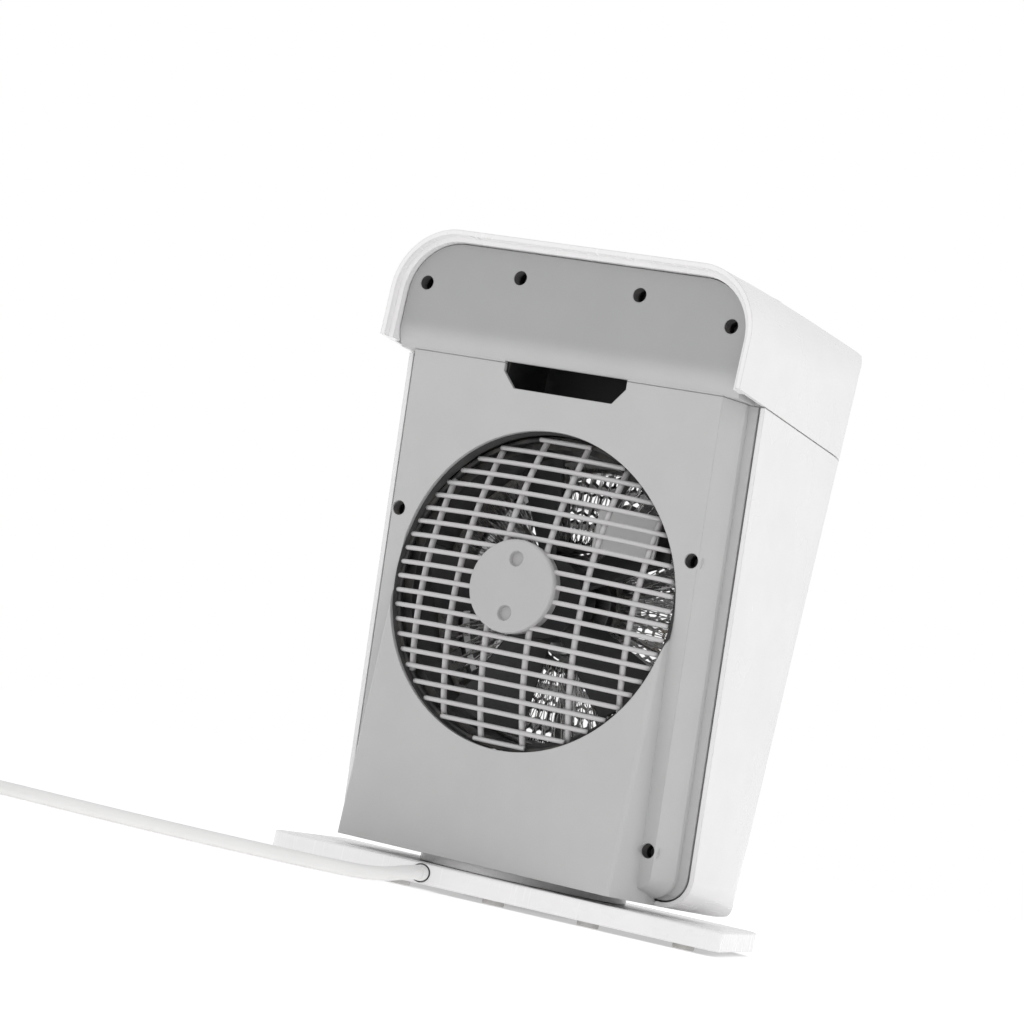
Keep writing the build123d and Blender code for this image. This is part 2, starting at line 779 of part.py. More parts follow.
for name, side in (("heat_knob", knob_side), ("mode_knob", -knob_side)):
    with BuildPart() as knob:
        with BuildSketch(control_plane.offset(0.4)):
            with Locations((side, 0)):
                Circle(knob_radius)
        extrude(amount=knob_height, taper=4)
        with BuildSketch(control_plane.offset(0.4)):
            with Locations((side, 0)):
                Rectangle(3, 2 * knob_radius - 3)
        extrude(amount=knob_height + 2.5)
        with BuildSketch(control_plane.offset(1)):
            with Locations((side, 0)):
                Circle(spindle_radius)
        extrude(amount=-16)
    finish(knob, name)

for name, side in (("thermostat", knob_side), ("mode_switch", -knob_side)):
    with BuildPart() as switch:
        with BuildSketch(control_plane.offset(roof_inside)):
            with Locations((side, 0)):
                RectangleRounded(switch_side, switch_side, 2)
                Circle(spindle_radius + running_fit, mode=Mode.SUBTRACT)
        extrude(amount=-switch_deep)
    finish(switch, name)

with BuildPart() as swing_button:
    with BuildSketch(control_plane.offset(button_travel + 1)):
        with Locations((0, -button_drop)):
            Circle(button_radius)
    extrude(amount=-(button_travel + 6))
    fillet(swing_button.edges().group_by(Axis.Z)[-1], 0.8)
finish(swing_button, "swing_button")

with BuildPart() as swing_switch:
    with BuildSketch(control_plane.offset(-5 - button_travel - clearance)):
        with Locations((0, -button_drop)):
            RectangleRounded(20, 20, 2)
    extrude(amount=-12)
finish(swing_switch, "swing_switch")

with BuildPart() as pilot_lens:
    with BuildSketch(control_plane.offset(0.6)):
        with Locations((0, lens_rise)):
            Circle(lens_radius)
    extrude(amount=-5)
finish(pilot_lens, "pilot_lens")

# ---- Electrical parts on the floor of the casing ------------------------------------------------

floor = body_bottom + shell_wall
for name, x, y, wide, deep, high in (
    ("tip_switch", *tip_switch_spot, *tip_switch_size),
    ("terminal_block", *terminal_spot, *terminal_size),
):
    with BuildPart() as block:
        with BuildSketch(Plane.XY.offset(floor)):
            with Locations((x, y)):
                RectangleRounded(wide, deep, 1.5)
        extrude(amount=high)
    finish(block, name)

with BuildPart() as swing_motor:
    with BuildSketch(Plane.XY.offset(floor)):
        with Locations(swing_motor_spot):
            Circle(swing_motor_radius)
    extrude(amount=swing_motor_height)
finish(swing_motor, "swing_motor")

# ---- Turntable ----------------------------------------------------------------------------------

with BuildPart() as turntable:
    with BuildSketch(Plane.XY.offset(plate_high + swivel_gap)):
        Circle(turntable_radius)
    extrude(amount=body_bottom - plate_high - swivel_gap)
    with BuildSketch(Plane.XY.offset(post_low)):
        Circle(post_radius)
    extrude(amount=plate_high + 1 - post_low)
    with BuildSketch(Plane.XY.offset(body_bottom - 1)):
        Circle(collar_radius - running_fit)
    extrude(amount=6)
    with BuildSketch(Plane.XY):
        Circle(post_bore)
    extrude(amount=60, mode=Mode.SUBTRACT)
    with BuildSketch(Plane.XY.offset(post_low)):
        with PolarLocations((post_radius + post_bore) / 2, 3):
            Circle(1)
    extrude(amount=6, mode=Mode.SUBTRACT)
finish(turntable, "turntable")

with BuildPart() as retaining_washer:
    with BuildSketch(Plane.XY.offset(post_low - 1)):
        Circle(washer_radius)
        Circle(post_bore, mode=Mode.SUBTRACT)
        with PolarLocations((post_radius + post_bore) / 2, 3):
            Circle(1, mode=Mode.SUBTRACT)
    extrude(amount=1)
finish(retaining_washer, "retaining_washer")

with BuildPart() as washer_screws:
    with PolarLocations((post_radius + post_bore) / 2, 3):
        Cylinder(1, 6, align=(Align.CENTER, Align.CENTER, Align.MIN))
        with Locations((0, 0, -0.8)):
            Cylinder(2, 0.8, align=(Align.CENTER, Align.CENTER, Align.MIN))
washer_screws.part = washer_screws.part.moved(Location((0, 0, post_low - 1)))
finish(washer_screws, "washer_screws")

# ---- Base plate and what it holds ---------------------------------------------------------------

cover_high = plate_low + cover_thick
rear_edge = plate_depth / 2
cover_spots = [(x, y) for x in (-cover_side, cover_side) for y in (-cover_end, cover_end)]
block_width = cord_hole_width + 6
exit_plane = Plane(
    origin=base_plane.from_local_coords(Vector(cord_exit_side, rear_edge, cord_height)),
    x_dir=base_plane.from_local_coords(Vector(-1, 0, 0)),
    z_dir=base_plane.from_local_coords(Vector(0, 1, 0)),
)
relief_bed = relief_length - relief_stand_out

with BuildPart() as base_plate:
    with BuildSketch(base_plane.offset(plate_low)):
        RectangleRounded(plate_width, plate_depth, plate_corner)
    extrude(amount=plate_thick)
    fillet(base_plate.edges().group_by(Axis.Z)[-1], 1.2)
    with BuildSketch(base_plane.offset(plate_low)):
        inner_width = plate_width - 2 * shell_wall
        RectangleRounded(inner_width, plate_depth - 2 * shell_wall, plate_corner - shell_wall)
        with Locations(*cover_spots):
            Circle(cover_boss_radius, mode=Mode.SUBTRACT)
        Circle(washer_radius - 2, mode=Mode.SUBTRACT)
        with Locations((cord_exit_side, rear_edge - relief_bed / 2)):
            Rectangle(block_width, relief_bed, mode=Mode.SUBTRACT)
    extrude(amount=plate_thick - plate_wall, mode=Mode.SUBTRACT)
    with BuildSketch(base_plane.offset(plate_low)):
        Circle(washer_radius + 2)
    extrude(amount=post_low - plate_low + swivel_gap, mode=Mode.SUBTRACT)
    with BuildSketch(base_plane):
        Circle(post_radius + running_fit)
    extrude(amount=40, mode=Mode.SUBTRACT)
    with BuildSketch(base_plane.offset(plate_low)):
        with Locations(*cover_spots):
            Circle(cover_boss_radius)
    extrude(amount=cover_thick, mode=Mode.SUBTRACT)
    with BuildSketch(base_plane.offset(cover_high)):
        with Locations(*cover_spots):
            Circle(screw_shank_radius)
    extrude(amount=5, mode=Mode.SUBTRACT)
    with BuildSketch(exit_plane):
        Circle(relief_radius)
    extrude(amount=-relief_bed - 1, mode=Mode.SUBTRACT)
    with BuildSketch(exit_plane):
        Circle(cord_hole_width / 2)
    extrude(amount=-2, mode=Mode.SUBTRACT)
finish(base_plate, "base_plate")

with BuildPart() as base_cover:
    with BuildSketch(base_plane.offset(plate_low)):
        inset = shell_wall + clearance
        RectangleRounded(plate_width - 2 * inset, plate_depth - 2 * inset, plate_corner - inset)
        Circle(washer_radius + 4, mode=Mode.SUBTRACT)
        with Locations(*cover_spots):
            Circle(screw_shank_radius + 0.2, mode=Mode.SUBTRACT)
        with Locations((cord_exit_side, rear_edge - relief_bed / 2)):
            Rectangle(block_width + 1, relief_bed + 1, mode=Mode.SUBTRACT)
    extrude(amount=cover_thick)
finish(base_cover, "base_cover")

with BuildPart() as cover_screws:
    with BuildSketch(base_plane.offset(plate_low - 1)):
        with Locations(*cover_spots):
            Circle(3)
    extrude(amount=1)
    with BuildSketch(base_plane.offset(plate_low)):
        with Locations(*cover_spots):
            Circle(screw_shank_radius)
    extrude(amount=cover_thick + 4)
finish(cover_screws, "cover_screws")

with BuildPart() as rubber_feet:
    with BuildSketch(base_plane):
        with GridLocations(feet_pitch, plate_depth - 2 * feet_inset, 5, 2):
            Circle(feet_radius)
    extrude(amount=feet_height)
    fillet(rubber_feet.edges().group_by(Axis.Z)[0], 0.8)
finish(rubber_feet, "rubber_feet")

with BuildPart() as cord_relief:
    with BuildSketch(exit_plane.offset(-relief_bed)):
        Circle(relief_radius)
    extrude(amount=relief_bed)
    with BuildSketch(exit_plane):
        Circle(relief_radius)
    with BuildSketch(exit_plane.offset(relief_stand_out)):
        Circle(cord_radius + 0.2)
    loft()
finish(cord_relief, "cord_relief")

# ---- Mains cord: loose stretch, coil, tie and plug ----------------------------------------------

cord_lift = cord_radius
cord_route = [
    (cord_exit_side, rear_edge + relief_stand_out, cord_height),
    (cord_exit_side, rear_edge + 28, cord_height),
    (47.0, 131.0, cord_lift),
    (76.0, 152.0, cord_lift),
    (122.0, 158.0, cord_lift),
    (178.0, 147.0, cord_lift),
    (224.0, 127.0, cord_lift),
    (264.0, 114.0, cord_lift),
    (coil_centre[0], coil_centre[1] - coil_mean_radius, cord_lift),
]


def corner_radii(points, share):
    """Fillet radii that use up a share of the shorter run at each corner."""
    radii = []
    for before, here, after in zip(points, points[1:], points[2:]):
        first = Vector(*here) - Vector(*before)
        second = Vector(*after) - Vector(*here)
        turn = first.get_angle(second)
        shorter = min(first.length, second.length)
        radii.append(share * shorter / tan(radians(turn / 2)))
    return radii


radii = corner_radii(cord_route, 0.45)
print("cord radii", [round(radius) for radius in radii])
world_route = [base_plane.from_local_coords(Vector(*point)) for point in cord_route]
with BuildPart() as mains_cord:
    with BuildLine() as route:
        FilletPolyline(*world_route, radius=radii)
    with BuildSketch(Plane(origin=route.line @ 0, z_dir=route.line % 0)):
        Circle(cord_radius)
    sweep()
finish(mains_cord, "mains_cord")
section = pi * cord_radius**2
print("cord length", round(route.wire().length, 1), "by volume", round(mains_cord.part.volume / section, 1))

coil_inner = coil_mean_radius - coil_wide * cord_radius
coil_outer = coil_mean_radius + coil_wide * cord_radius
coil_height = 2 * cord_radius * coil_high
coil_place = base_plane.from_local_coords(Vector(coil_centre[0], coil_centre[1], 0))
coil_plane = Plane(origin=coil_place, x_dir=base_plane.x_dir, z_dir=(0, 0, 1))
with BuildPart() as cord_coil:
    with BuildSketch(coil_plane.offset(tie_thick)):
        Circle(coil_outer)
        Circle(coil_inner, mode=Mode.SUBTRACT)
    extrude(amount=coil_height)
    fillet(cord_coil.edges().filter_by(GeomType.CIRCLE), cord_radius - 0.5)
finish(cord_coil, "cord_coil")

with BuildPart() as coil_tie:
    tie_side = Plane(
        origin=coil_plane.from_local_coords(Vector(0, coil_mean_radius, coil_height / 2 + tie_thick)),
        x_dir=coil_plane.y_dir,
        z_dir=coil_plane.x_dir,
    )
    with BuildSketch(tie_side.offset(-tie_width / 2)):
        Rectangle(coil_outer - coil_inner + 2 * tie_thick + 1.2, coil_height + 2 * tie_thick)
        Rectangle(coil_outer - coil_inner + 1.2, coil_height, mode=Mode.SUBTRACT)
    extrude(amount=tie_width)
finish(coil_tie, "coil_tie")

# The tail leaves the coil's top turn and rises a little into the plug, which lies on the floor.
tail_route = [
    (coil_centre[0] + coil_mean_radius, coil_centre[1], tie_thick + coil_height - cord_radius),
    (coil_centre[0] + coil_mean_radius + 1, coil_centre[1] + 18, tie_thick + coil_height - cord_radius),
    (coil_centre[0] + coil_mean_radius + 6, coil_centre[1] + 40, plug_radius),
    (coil_centre[0] + coil_mean_radius + 8, coil_centre[1] + 60, plug_radius),
]
tail_radii = corner_radii(tail_route, 0.45)
print("tail radii", [round(radius) for radius in tail_radii])
world_tail = [base_plane.from_local_coords(Vector(*point)) for point in tail_route]
with BuildPart() as cord_tail:
    with BuildLine() as tail:
        FilletPolyline(*world_tail, radius=tail_radii)
    with BuildSketch(Plane(origin=tail.line @ 0, z_dir=tail.line % 0)):
        Circle(cord_radius)
    sweep()
finish(cord_tail, "cord_tail")
print("tail length", round(tail.wire().length, 1), "by volume", round(cord_tail.part.volume / section, 1))

plug_plane = Plane(origin=tail.line @ 1, x_dir=base_plane.x_dir, z_dir=tail.line % 1)
with BuildPart() as plug_body:
    with BuildSketch(plug_plane):
        Circle(5)
    with BuildSketch(plug_plane.offset(18)):
        Circle(9)
    with BuildSketch(plug_plane.offset(34)):
        Circle(plug_radius)
    loft(ruled=True)
    with BuildSketch(plug_plane.offset(34)):
        Circle(plug_radius)
    extrude(amount=14)
finish(plug_body, "plug_body")

with BuildPart() as plug_pins:
    with BuildSketch(plug_plane.offset(48)):
        with Locations((9.5, 0), (-9.5, 0)):
            Circle(2.4)
    extrude(amount=19)
finish(plug_pins, "plug_pins")
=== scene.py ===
import json
import math
import random

import bpy
import bmesh
from mathutils import Matrix, Vector


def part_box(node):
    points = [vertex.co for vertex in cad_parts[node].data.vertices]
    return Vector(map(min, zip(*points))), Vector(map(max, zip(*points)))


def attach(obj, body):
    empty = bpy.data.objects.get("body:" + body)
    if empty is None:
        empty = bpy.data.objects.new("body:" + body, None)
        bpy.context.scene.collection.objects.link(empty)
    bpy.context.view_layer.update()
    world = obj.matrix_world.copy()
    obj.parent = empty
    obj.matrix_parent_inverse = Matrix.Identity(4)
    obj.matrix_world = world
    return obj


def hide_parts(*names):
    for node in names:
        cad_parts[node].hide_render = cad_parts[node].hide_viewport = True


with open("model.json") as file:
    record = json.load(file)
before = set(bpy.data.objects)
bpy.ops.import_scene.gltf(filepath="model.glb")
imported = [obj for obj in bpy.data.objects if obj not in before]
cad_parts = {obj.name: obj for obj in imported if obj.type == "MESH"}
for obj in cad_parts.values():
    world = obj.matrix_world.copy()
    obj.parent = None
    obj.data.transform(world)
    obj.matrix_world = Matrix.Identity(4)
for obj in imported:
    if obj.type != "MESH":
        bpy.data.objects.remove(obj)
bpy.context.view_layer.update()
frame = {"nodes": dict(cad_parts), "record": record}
nodes = frame["nodes"]

# Lengths are in metres and angles in degrees unless a name says otherwise.
MM = 0.001
SWIVEL_AT_REST = 18.5         # the base plate's turn under the heater
CORD_DIAMETER = 7.0 * MM
grille_low, grille_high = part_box("rear_grille")
AXIS_Z = (grille_low.z + grille_high.z) / 2      # height of the fan's axis
HUB_FACE = grille_high.y


# ---- Small helpers ------------------------------------------------------------------------------


def new_object(name, mesh, material):
    """A mesh as an object in the scene, with its material."""
    piece = bpy.data.objects.new(name, mesh)
    bpy.context.scene.collection.objects.link(piece)
    piece.data.materials.append(material)
    return piece


def from_bmesh(name, bm, material, smooth=True):
    """Close a bmesh into an object."""
    bmesh.ops.recalc_face_normals(bm, faces=bm.faces)
    mesh = bpy.data.meshes.new(name)
    bm.to_mesh(mesh)
    bm.free()
    piece = new_object(name, mesh, material)
    for face in mesh.polygons:
        face.use_smooth = smooth
    return piece


def sweep_tube(bm, points, radius, sides, up):
    """A closed tube along points; up is a direction that the points never run along."""
    rings = []
    for i, point in enumerate(points):
        ahead = points[min(i + 1, len(points) - 1)] - points[max(i - 1, 0)]
        ahead.normalize()
        side = ahead.cross(up).normalized()
        over = side.cross(ahead)
        ring = []
        for k in range(sides):
            turn = 2 * math.pi * k / sides
            offset = side * math.cos(turn) + over * math.sin(turn)
            ring.append(bm.verts.new(point + offset * radius))
        rings.append(ring)
    for low, high in zip(rings, rings[1:]):
        for k in range(sides):
            bm.faces.new((low[k], low[(k + 1) % sides], high[(k + 1) % sides], high[k]))
    bm.faces.new(list(reversed(rings[0])))
    bm.faces.new(rings[-1])


def join_rings(bm, rings, closed=True):
    """Faces from each cross-section to the next, right round and back to the first."""
    count = len(rings[0])
    for here, after in zip(rings, rings[1:] + rings[:1]):
        for j in range(count if closed else count - 1):
            other = (j + 1) % count
            bm.faces.new((here[j], here[other], after[other], after[j]))


def turned_rings(bm, profile, steps, x=0.0, z=None):
    """Cross-sections of a form turned about an axis along Y, from its (radius, y) profile."""
    height = AXIS_Z if z is None else z
    rings = []
    for k in range(steps):
        turn = 2 * math.pi * k / steps
        rings.append([
            bm.verts.new((x + r * math.cos(turn), y, height + r * math.sin(turn))) for r, y in profile
        ])
    return rings


# ---- Camera -------------------------------------------------------------------------------------

CAMERA_PLACE = (-0.8928, 1.6383, 0.0560)
CAMERA_YAW = 30.03            # from straight behind the heater towards its -X side
CAMERA_PITCH = 4.33
CAMERA_ROLL = 12.70
CAMERA_LENS = 127.3           # on a 36 mm sensor


def add_camera():
    yaw, pitch, roll = (math.radians(a) for a in (CAMERA_YAW, CAMERA_PITCH, CAMERA_ROLL))
    level = Vector((math.sin(yaw), -math.cos(yaw), 0))
    forward = level * math.cos(pitch) + Vector((0, 0, math.sin(pitch)))
    right = Vector((-math.cos(yaw), -math.sin(yaw), 0))
    above = -level * math.sin(pitch) + Vector((0, 0, math.cos(pitch)))
    rolled_right = right * math.cos(roll) + above * math.sin(roll)
    rolled_up = -right * math.sin(roll) + above * math.cos(roll)
    camera = bpy.data.objects.new("camera", bpy.data.cameras.new("camera"))
    bpy.context.scene.collection.objects.link(camera)
    turn = Matrix((rolled_right, rolled_up, -forward)).transposed()
    camera.matrix_world = Matrix.Translation(CAMERA_PLACE) @ turn.to_4x4()
    camera.data.lens = CAMERA_LENS
    camera.data.sensor_width = 36.0
    camera.data.clip_end = 50.0
    bpy.context.scene.camera = camera


add_camera()


# ---- Shared effects: node groups ----------------------------------------------------------------


def make_group(name, inputs, outputs):
    """An empty node group with named sockets: (name, kind, default)."""
    group = bpy.data.node_groups.new(name, "ShaderNodeTree")
    for label, kind, default in inputs:
        socket = group.interface.new_socket(label, in_out="INPUT", socket_type=kind)
        socket.default_value = default
    for label, kind in outputs:
        group.interface.new_socket(label, in_out="OUTPUT", socket_type=kind)
    start = group.nodes.new("NodeGroupInput")
    end = group.nodes.new("NodeGroupOutput")
    return group, start, end


def math_node(tree, operation, first, second=None, clamp=False):
    """A Math node whose inputs are sockets or numbers; returns its output."""
    node = tree.nodes.new("ShaderNodeMath")
    node.operation = operation
    node.use_clamp = clamp
    for slot, value in zip(node.inputs, (first, second)):
        if value is None:
            continue
        if isinstance(value, (int, float)):
            slot.default_value = value
        else:
            tree.links.new(value, slot)
    return node.outputs[0]


def mix_colour(tree, factor, first, second, blend="MIX"):
    """A colour Mix node; factor, first and second are sockets or plain values."""
    node = tree.nodes.new("ShaderNodeMix")
    node.data_type = "RGBA"
    node.blend_type = blend
    for slot, value in ((node.inputs[0], factor), (node.inputs[6], first), (node.inputs[7], second)):
        if isinstance(value, (int, float, tuple)):
            slot.default_value = value
        else:
            tree.links.new(value, slot)
    return node.outputs[2]


def noise(tree, place, scale, detail=3.0, roughness=0.55):
    """A noise texture's value output."""
    node = tree.nodes.new("ShaderNodeTexNoise")
    tree.links.new(place, node.inputs["Vector"])
    if isinstance(scale, (int, float)):
        node.inputs["Scale"].default_value = scale
    else:
        tree.links.new(scale, node.inputs["Scale"])
    node.inputs["Detail"].default_value = detail
    node.inputs["Roughness"].default_value = roughness
    return node.outputs["Fac"]


def object_place(tree):
    """Object coordinates, in metres."""
    return tree.nodes.new("ShaderNodeTexCoord").outputs["Object"]


def ramp(tree, value, low, high):
    """Value mapped so that low gives 0 and high gives 1, smoothly."""
    node = tree.nodes.new("ShaderNodeMapRange")
    node.interpolation_type = "SMOOTHSTEP"
    tree.links.new(value, node.inputs["Value"])
    node.inputs["From Min"].default_value = low
    node.inputs["From Max"].default_value = high
    return node.outputs["Result"]


def build_moulded_skin():
    """Fine spark-eroded grain of moulded plastic, with softened edges."""
    group, start, end = make_group(
        "moulded_skin",
        [
            ("Grain Scale", "NodeSocketFloat", 1800.0),
            ("Grain Depth", "NodeSocketFloat", 0.1),
            ("Waviness", "NodeSocketFloat", 0.05),
            ("Edge Radius", "NodeSocketFloat", 0.0008),
        ],
        [("Normal", "NodeSocketVector"), ("Grain", "NodeSocketFloat"), ("Edge", "NodeSocketFloat")],
    )
    place = object_place(group)
    grain = noise(group, place, start.outputs["Grain Scale"], 2.0, 0.6)
    wave = noise(group, place, 28.0, 1.0, 0.4)
    soft = group.nodes.new("ShaderNodeBevel")
    soft.samples = 4
    group.links.new(start.outputs["Edge Radius"], soft.inputs["Radius"])
    sink = group.nodes.new("ShaderNodeBump")
    sink.inputs["Distance"].default_value = 0.002
    group.links.new(wave, sink.inputs["Height"])
    group.links.new(start.outputs["Waviness"], sink.inputs["Strength"])
    group.links.new(soft.outputs["Normal"], sink.inputs["Normal"])
    bump = group.nodes.new("ShaderNodeBump")
    bump.inputs["Distance"].default_value = 0.0002
    group.links.new(grain, bump.inputs["Height"])
    group.links.new(start.outputs["Grain Depth"], bump.inputs["Strength"])
    group.links.new(sink.outputs["Normal"], bump.inputs["Normal"])
    flat = group.nodes.new("ShaderNodeNewGeometry").outputs["Normal"]
    dot = group.nodes.new("ShaderNodeVectorMath")
    dot.operation = "DOT_PRODUCT"
    group.links.new(soft.outputs["Normal"], dot.inputs[0])
    group.links.new(flat, dot.inputs[1])
    edge = ramp(group, math_node(group, "SUBTRACT", 1.0, dot.outputs["Value"]), 0.01, 0.14)
    group.links.new(bump.outputs["Normal"], end.inputs["Normal"])
    group.links.new(grain, end.inputs["Grain"])
    group.links.new(edge, end.inputs["Edge"])
    return group


def build_settled_dust():
    """Where dust gathers: recesses, in soft patches."""
    group, start, end = make_group(
        "settled_dust",
        [("Reach", "NodeSocketFloat", 0.012), ("Amount", "NodeSocketFloat", 0.3)],
        [("Mask", "NodeSocketFloat")],
    )
    shade = group.nodes.new("ShaderNodeAmbientOcclusion")
    shade.samples = 4
    group.links.new(start.outputs["Reach"], shade.inputs["Distance"])
    recess = math_node(group, "SUBTRACT", 1.0, shade.outputs["AO"])
    patches = ramp(group, noise(group, object_place(group), 90.0, 4.0), 0.35, 0.7)
    mask = math_node(group, "MULTIPLY", recess, patches)
    mask = math_node(group, "MULTIPLY", mask, start.outputs["Amount"], clamp=True)
    group.links.new(mask, end.inputs["Mask"])
    return group


def build_handling_marks():
    """Faint smears and fine scratches that vary the gloss."""
    group, start, end = make_group(
        "handling_marks",
        [("Base", "NodeSocketFloat", 0.35), ("Spread", "NodeSocketFloat", 0.1)],
        [("Roughness", "NodeSocketFloat")],
    )
    place = object_place(group)
    smears = noise(group, place, 14.0, 4.0, 0.6)
    stretch = group.nodes.new("ShaderNodeMapping")
    stretch.inputs["Rotation"].default_value = (0.4, 0.9, 0.3)
    stretch.inputs["Scale"].default_value = (900.0, 40.0, 40.0)
    group.links.new(place, stretch.inputs["Vector"])
    scratches = ramp(group, noise(group, stretch.outputs["Vector"], 1.0, 2.0), 0.62, 0.7)
    total = math_node(group, "ADD", smears, math_node(group, "MULTIPLY", scratches, 0.35))
    shift = math_node(group, "SUBTRACT", total, 0.5)
    shift = math_node(group, "MULTIPLY", shift, start.outputs["Spread"])
    rough = math_node(group, "ADD", start.outputs["Base"], shift, clamp=True)
    group.links.new(rough, end.inputs["Roughness"])
    return group


def build_drawn_metal():
    """Fine lines left by drawing or rolling, as a height and a shade."""
    group, start, end = make_group(
        "drawn_metal",
        [("Line Scale", "NodeSocketFloat", 1.0), ("Depth", "NodeSocketFloat", 0.2)],
        [("Normal", "NodeSocketVector"), ("Shade", "NodeSocketFloat")],
    )
    stretch = group.nodes.new("ShaderNodeMapping")
    stretch.inputs["Scale"].default_value = (60.0, 60.0, 2600.0)
    group.links.new(object_place(group), stretch.inputs["Vector"])
    lines = noise(group, stretch.outputs["Vector"], start.outputs["Line Scale"], 3.0)
    soft = group.nodes.new("ShaderNodeBevel")
    soft.samples = 4
    soft.inputs["Radius"].default_value = 0.0004
    bump = group.nodes.new("ShaderNodeBump")
    bump.inputs["Distance"].default_value = 0.0001
    group.links.new(lines, bump.inputs["Height"])
    group.links.new(start.outputs["Depth"], bump.inputs["Strength"])
    group.links.new(soft.outputs["Normal"], bump.inputs["Normal"])
    group.links.new(bump.outputs["Normal"], end.inputs["Normal"])
    group.links.new(lines, end.inputs["Shade"])
    return group


MOULDED_SKIN = build_moulded_skin()
SETTLED_DUST = build_settled_dust()
HANDLING_MARKS = build_handling_marks()
DRAWN_METAL = build_drawn_metal()
DUST_COLOUR = (0.42, 0.39, 0.35, 1.0)


def use_group(tree, group, **values):
    """Place a group in a material and set its inputs by name, underscores for spaces."""
    node = tree.nodes.new("ShaderNodeGroup")
    node.node_tree = group
    for label, value in values.items():
        node.inputs[label.replace("_", " ")].default_value = value
    return node


def start_material(name):
    """A material with a bare Principled shader; returns it, its tree and the shader."""
    material = bpy.data.materials.new(name)
    material.use_nodes = True
    tree = material.node_tree
    tree.nodes.clear()
    shader = tree.nodes.new("ShaderNodeBsdfPrincipled")
    output = tree.nodes.new("ShaderNodeOutputMaterial")
    tree.links.new(shader.outputs["BSDF"], output.inputs["Surface"])
    return material, tree, shader


# ---- Materials ----------------------------------------------------------------------------------


def moulded_plastic(
    name, colour, gloss, grain=0.1, grain_scale=1800.0, edge=0.0008, dust=0.15, coat=0.0
):
    """A moulded plastic: faint mottling, lighter worn edges, dust in recesses, grained skin."""
    material, tree, shader = start_material(name)
    skin = use_group(
        tree, MOULDED_SKIN, Grain_Scale=grain_scale, Grain_Depth=grain, Edge_Radius=edge
    )
    marks = use_group(tree, HANDLING_MARKS, Base=gloss, Spread=0.16)
    dirt = use_group(tree, SETTLED_DUST, Amount=dust)
    mottle = noise(tree, object_place(tree), 45.0, 3.0)
    deep = tuple(c * 0.985 for c in colour) + (1.0,)
    pale = tuple(min(c * 1.01 + 0.001, 1.0) for c in colour) + (1.0,)
    worn = tuple(min(c * 1.06 + 0.012, 1.0) for c in colour) + (1.0,)
    shade = mix_colour(tree, ramp(tree, mottle, 0.3, 0.7), deep, pale)
    shade = mix_colour(tree, math_node(tree, "MULTIPLY", skin.outputs["Edge"], 0.5), shade, worn)
    shade = mix_colour(tree, dirt.outputs["Mask"], shade, DUST_COLOUR)
    tree.links.new(shade, shader.inputs["Base Color"])
    rough = math_node(tree, "ADD", marks.outputs["Roughness"], dirt.outputs["Mask"], clamp=True)
    tree.links.new(rough, shader.inputs["Roughness"])
    tree.links.new(skin.outputs["Normal"], shader.inputs["Normal"])
    shader.inputs["Coat Weight"].default_value = coat
    shader.inputs["Coat Roughness"].default_value = 0.12
    return material


def drawn_steel(name, colour, gloss, depth=0.2, dust=0.2):
    """A rolled or drawn metal with fine lines and a little dust."""
    material, tree, shader = start_material(name)
    metal = use_group(tree, DRAWN_METAL, Line_Scale=1.0, Depth=depth)
    marks = use_group(tree, HANDLING_MARKS, Base=gloss, Spread=0.2)
    dirt = use_group(tree, SETTLED_DUST, Amount=dust)
    deep = tuple(c * 0.8 for c in colour) + (1.0,)
    shade = mix_colour(tree, ramp(tree, metal.outputs["Shade"], 0.3, 0.7), deep, colour + (1.0,))
    shade = mix_colour(tree, dirt.outputs["Mask"], shade, DUST_COLOUR)
    tree.links.new(shade, shader.inputs["Base Color"])
    metallic = math_node(tree, "SUBTRACT", 1.0, dirt.outputs["Mask"], clamp=True)
    tree.links.new(metallic, shader.inputs["Metallic"])
    tree.links.new(marks.outputs["Roughness"], shader.inputs["Roughness"])
    tree.links.new(metal.outputs["Normal"], shader.inputs["Normal"])
    return material


def brow_plastic_painted_shade():
    """The upper panel's plastic, with painted shade: darker on its upright face, while its rolled lower
    edge keeps the panel's grey and reads paler, as painted floor light.
    """
    material = moulded_plastic("brow_satin_painted_shade", PANEL_GREY, 0.4, grain=0.15, grain_scale=1500.0, dust=0.05)
    tree = material.node_tree
    shader = next(node for node in tree.nodes if node.type == "BSDF_PRINCIPLED")
    shade = shader.inputs["Base Color"].links[0].from_socket
    parts = tree.nodes.new("ShaderNodeSeparateXYZ")
    tree.links.new(object_place(tree), parts.inputs["Vector"])
    # Painted shade: above the roll the panel's grey is multiplied darker.
    upright_painted_shade = ramp(tree, parts.outputs["Z"], BROW_ROLL[0], BROW_ROLL[1])
    tree.links.new(mix_colour(tree, upright_painted_shade, shade, BROW_PAINTED_SHADE, "MULTIPLY"), shader.inputs["Base Color"])
    return material


def mica_sheet():
    """Dark smoked mica with flaky paler specks."""
    material, tree, shader = start_material("mica_sheet")
    place = object_place(tree)
    flakes = tree.nodes.new("ShaderNodeTexVoronoi")
    flakes.inputs["Scale"].default_value = 700.0
    tree.links.new(place, flakes.inputs["Vector"])
    speck = ramp(tree, flakes.outputs["Distance"], 0.1, 0.6)
    shade = mix_colour(tree, speck, (0.20, 0.19, 0.18, 1), (0.11, 0.105, 0.10, 1))
    dirt = use_group(tree, SETTLED_DUST, Amount=0.4)
    shade = mix_colour(tree, dirt.outputs["Mask"], shade, DUST_COLOUR)
    tree.links.new(shade, shader.inputs["Base Color"])
    marks = use_group(tree, HANDLING_MARKS, Base=0.45, Spread=0.3)
    tree.links.new(marks.outputs["Roughness"], shader.inputs["Roughness"])
    bump = tree.nodes.new("ShaderNodeBump")
    bump.inputs["Strength"].default_value = 0.2
    bump.inputs["Distance"].default_value = 0.0002
    tree.links.new(flakes.outputs["Distance"], bump.inputs["Height"])
    tree.links.new(bump.outputs["Normal"], shader.inputs["Normal"])
    return material


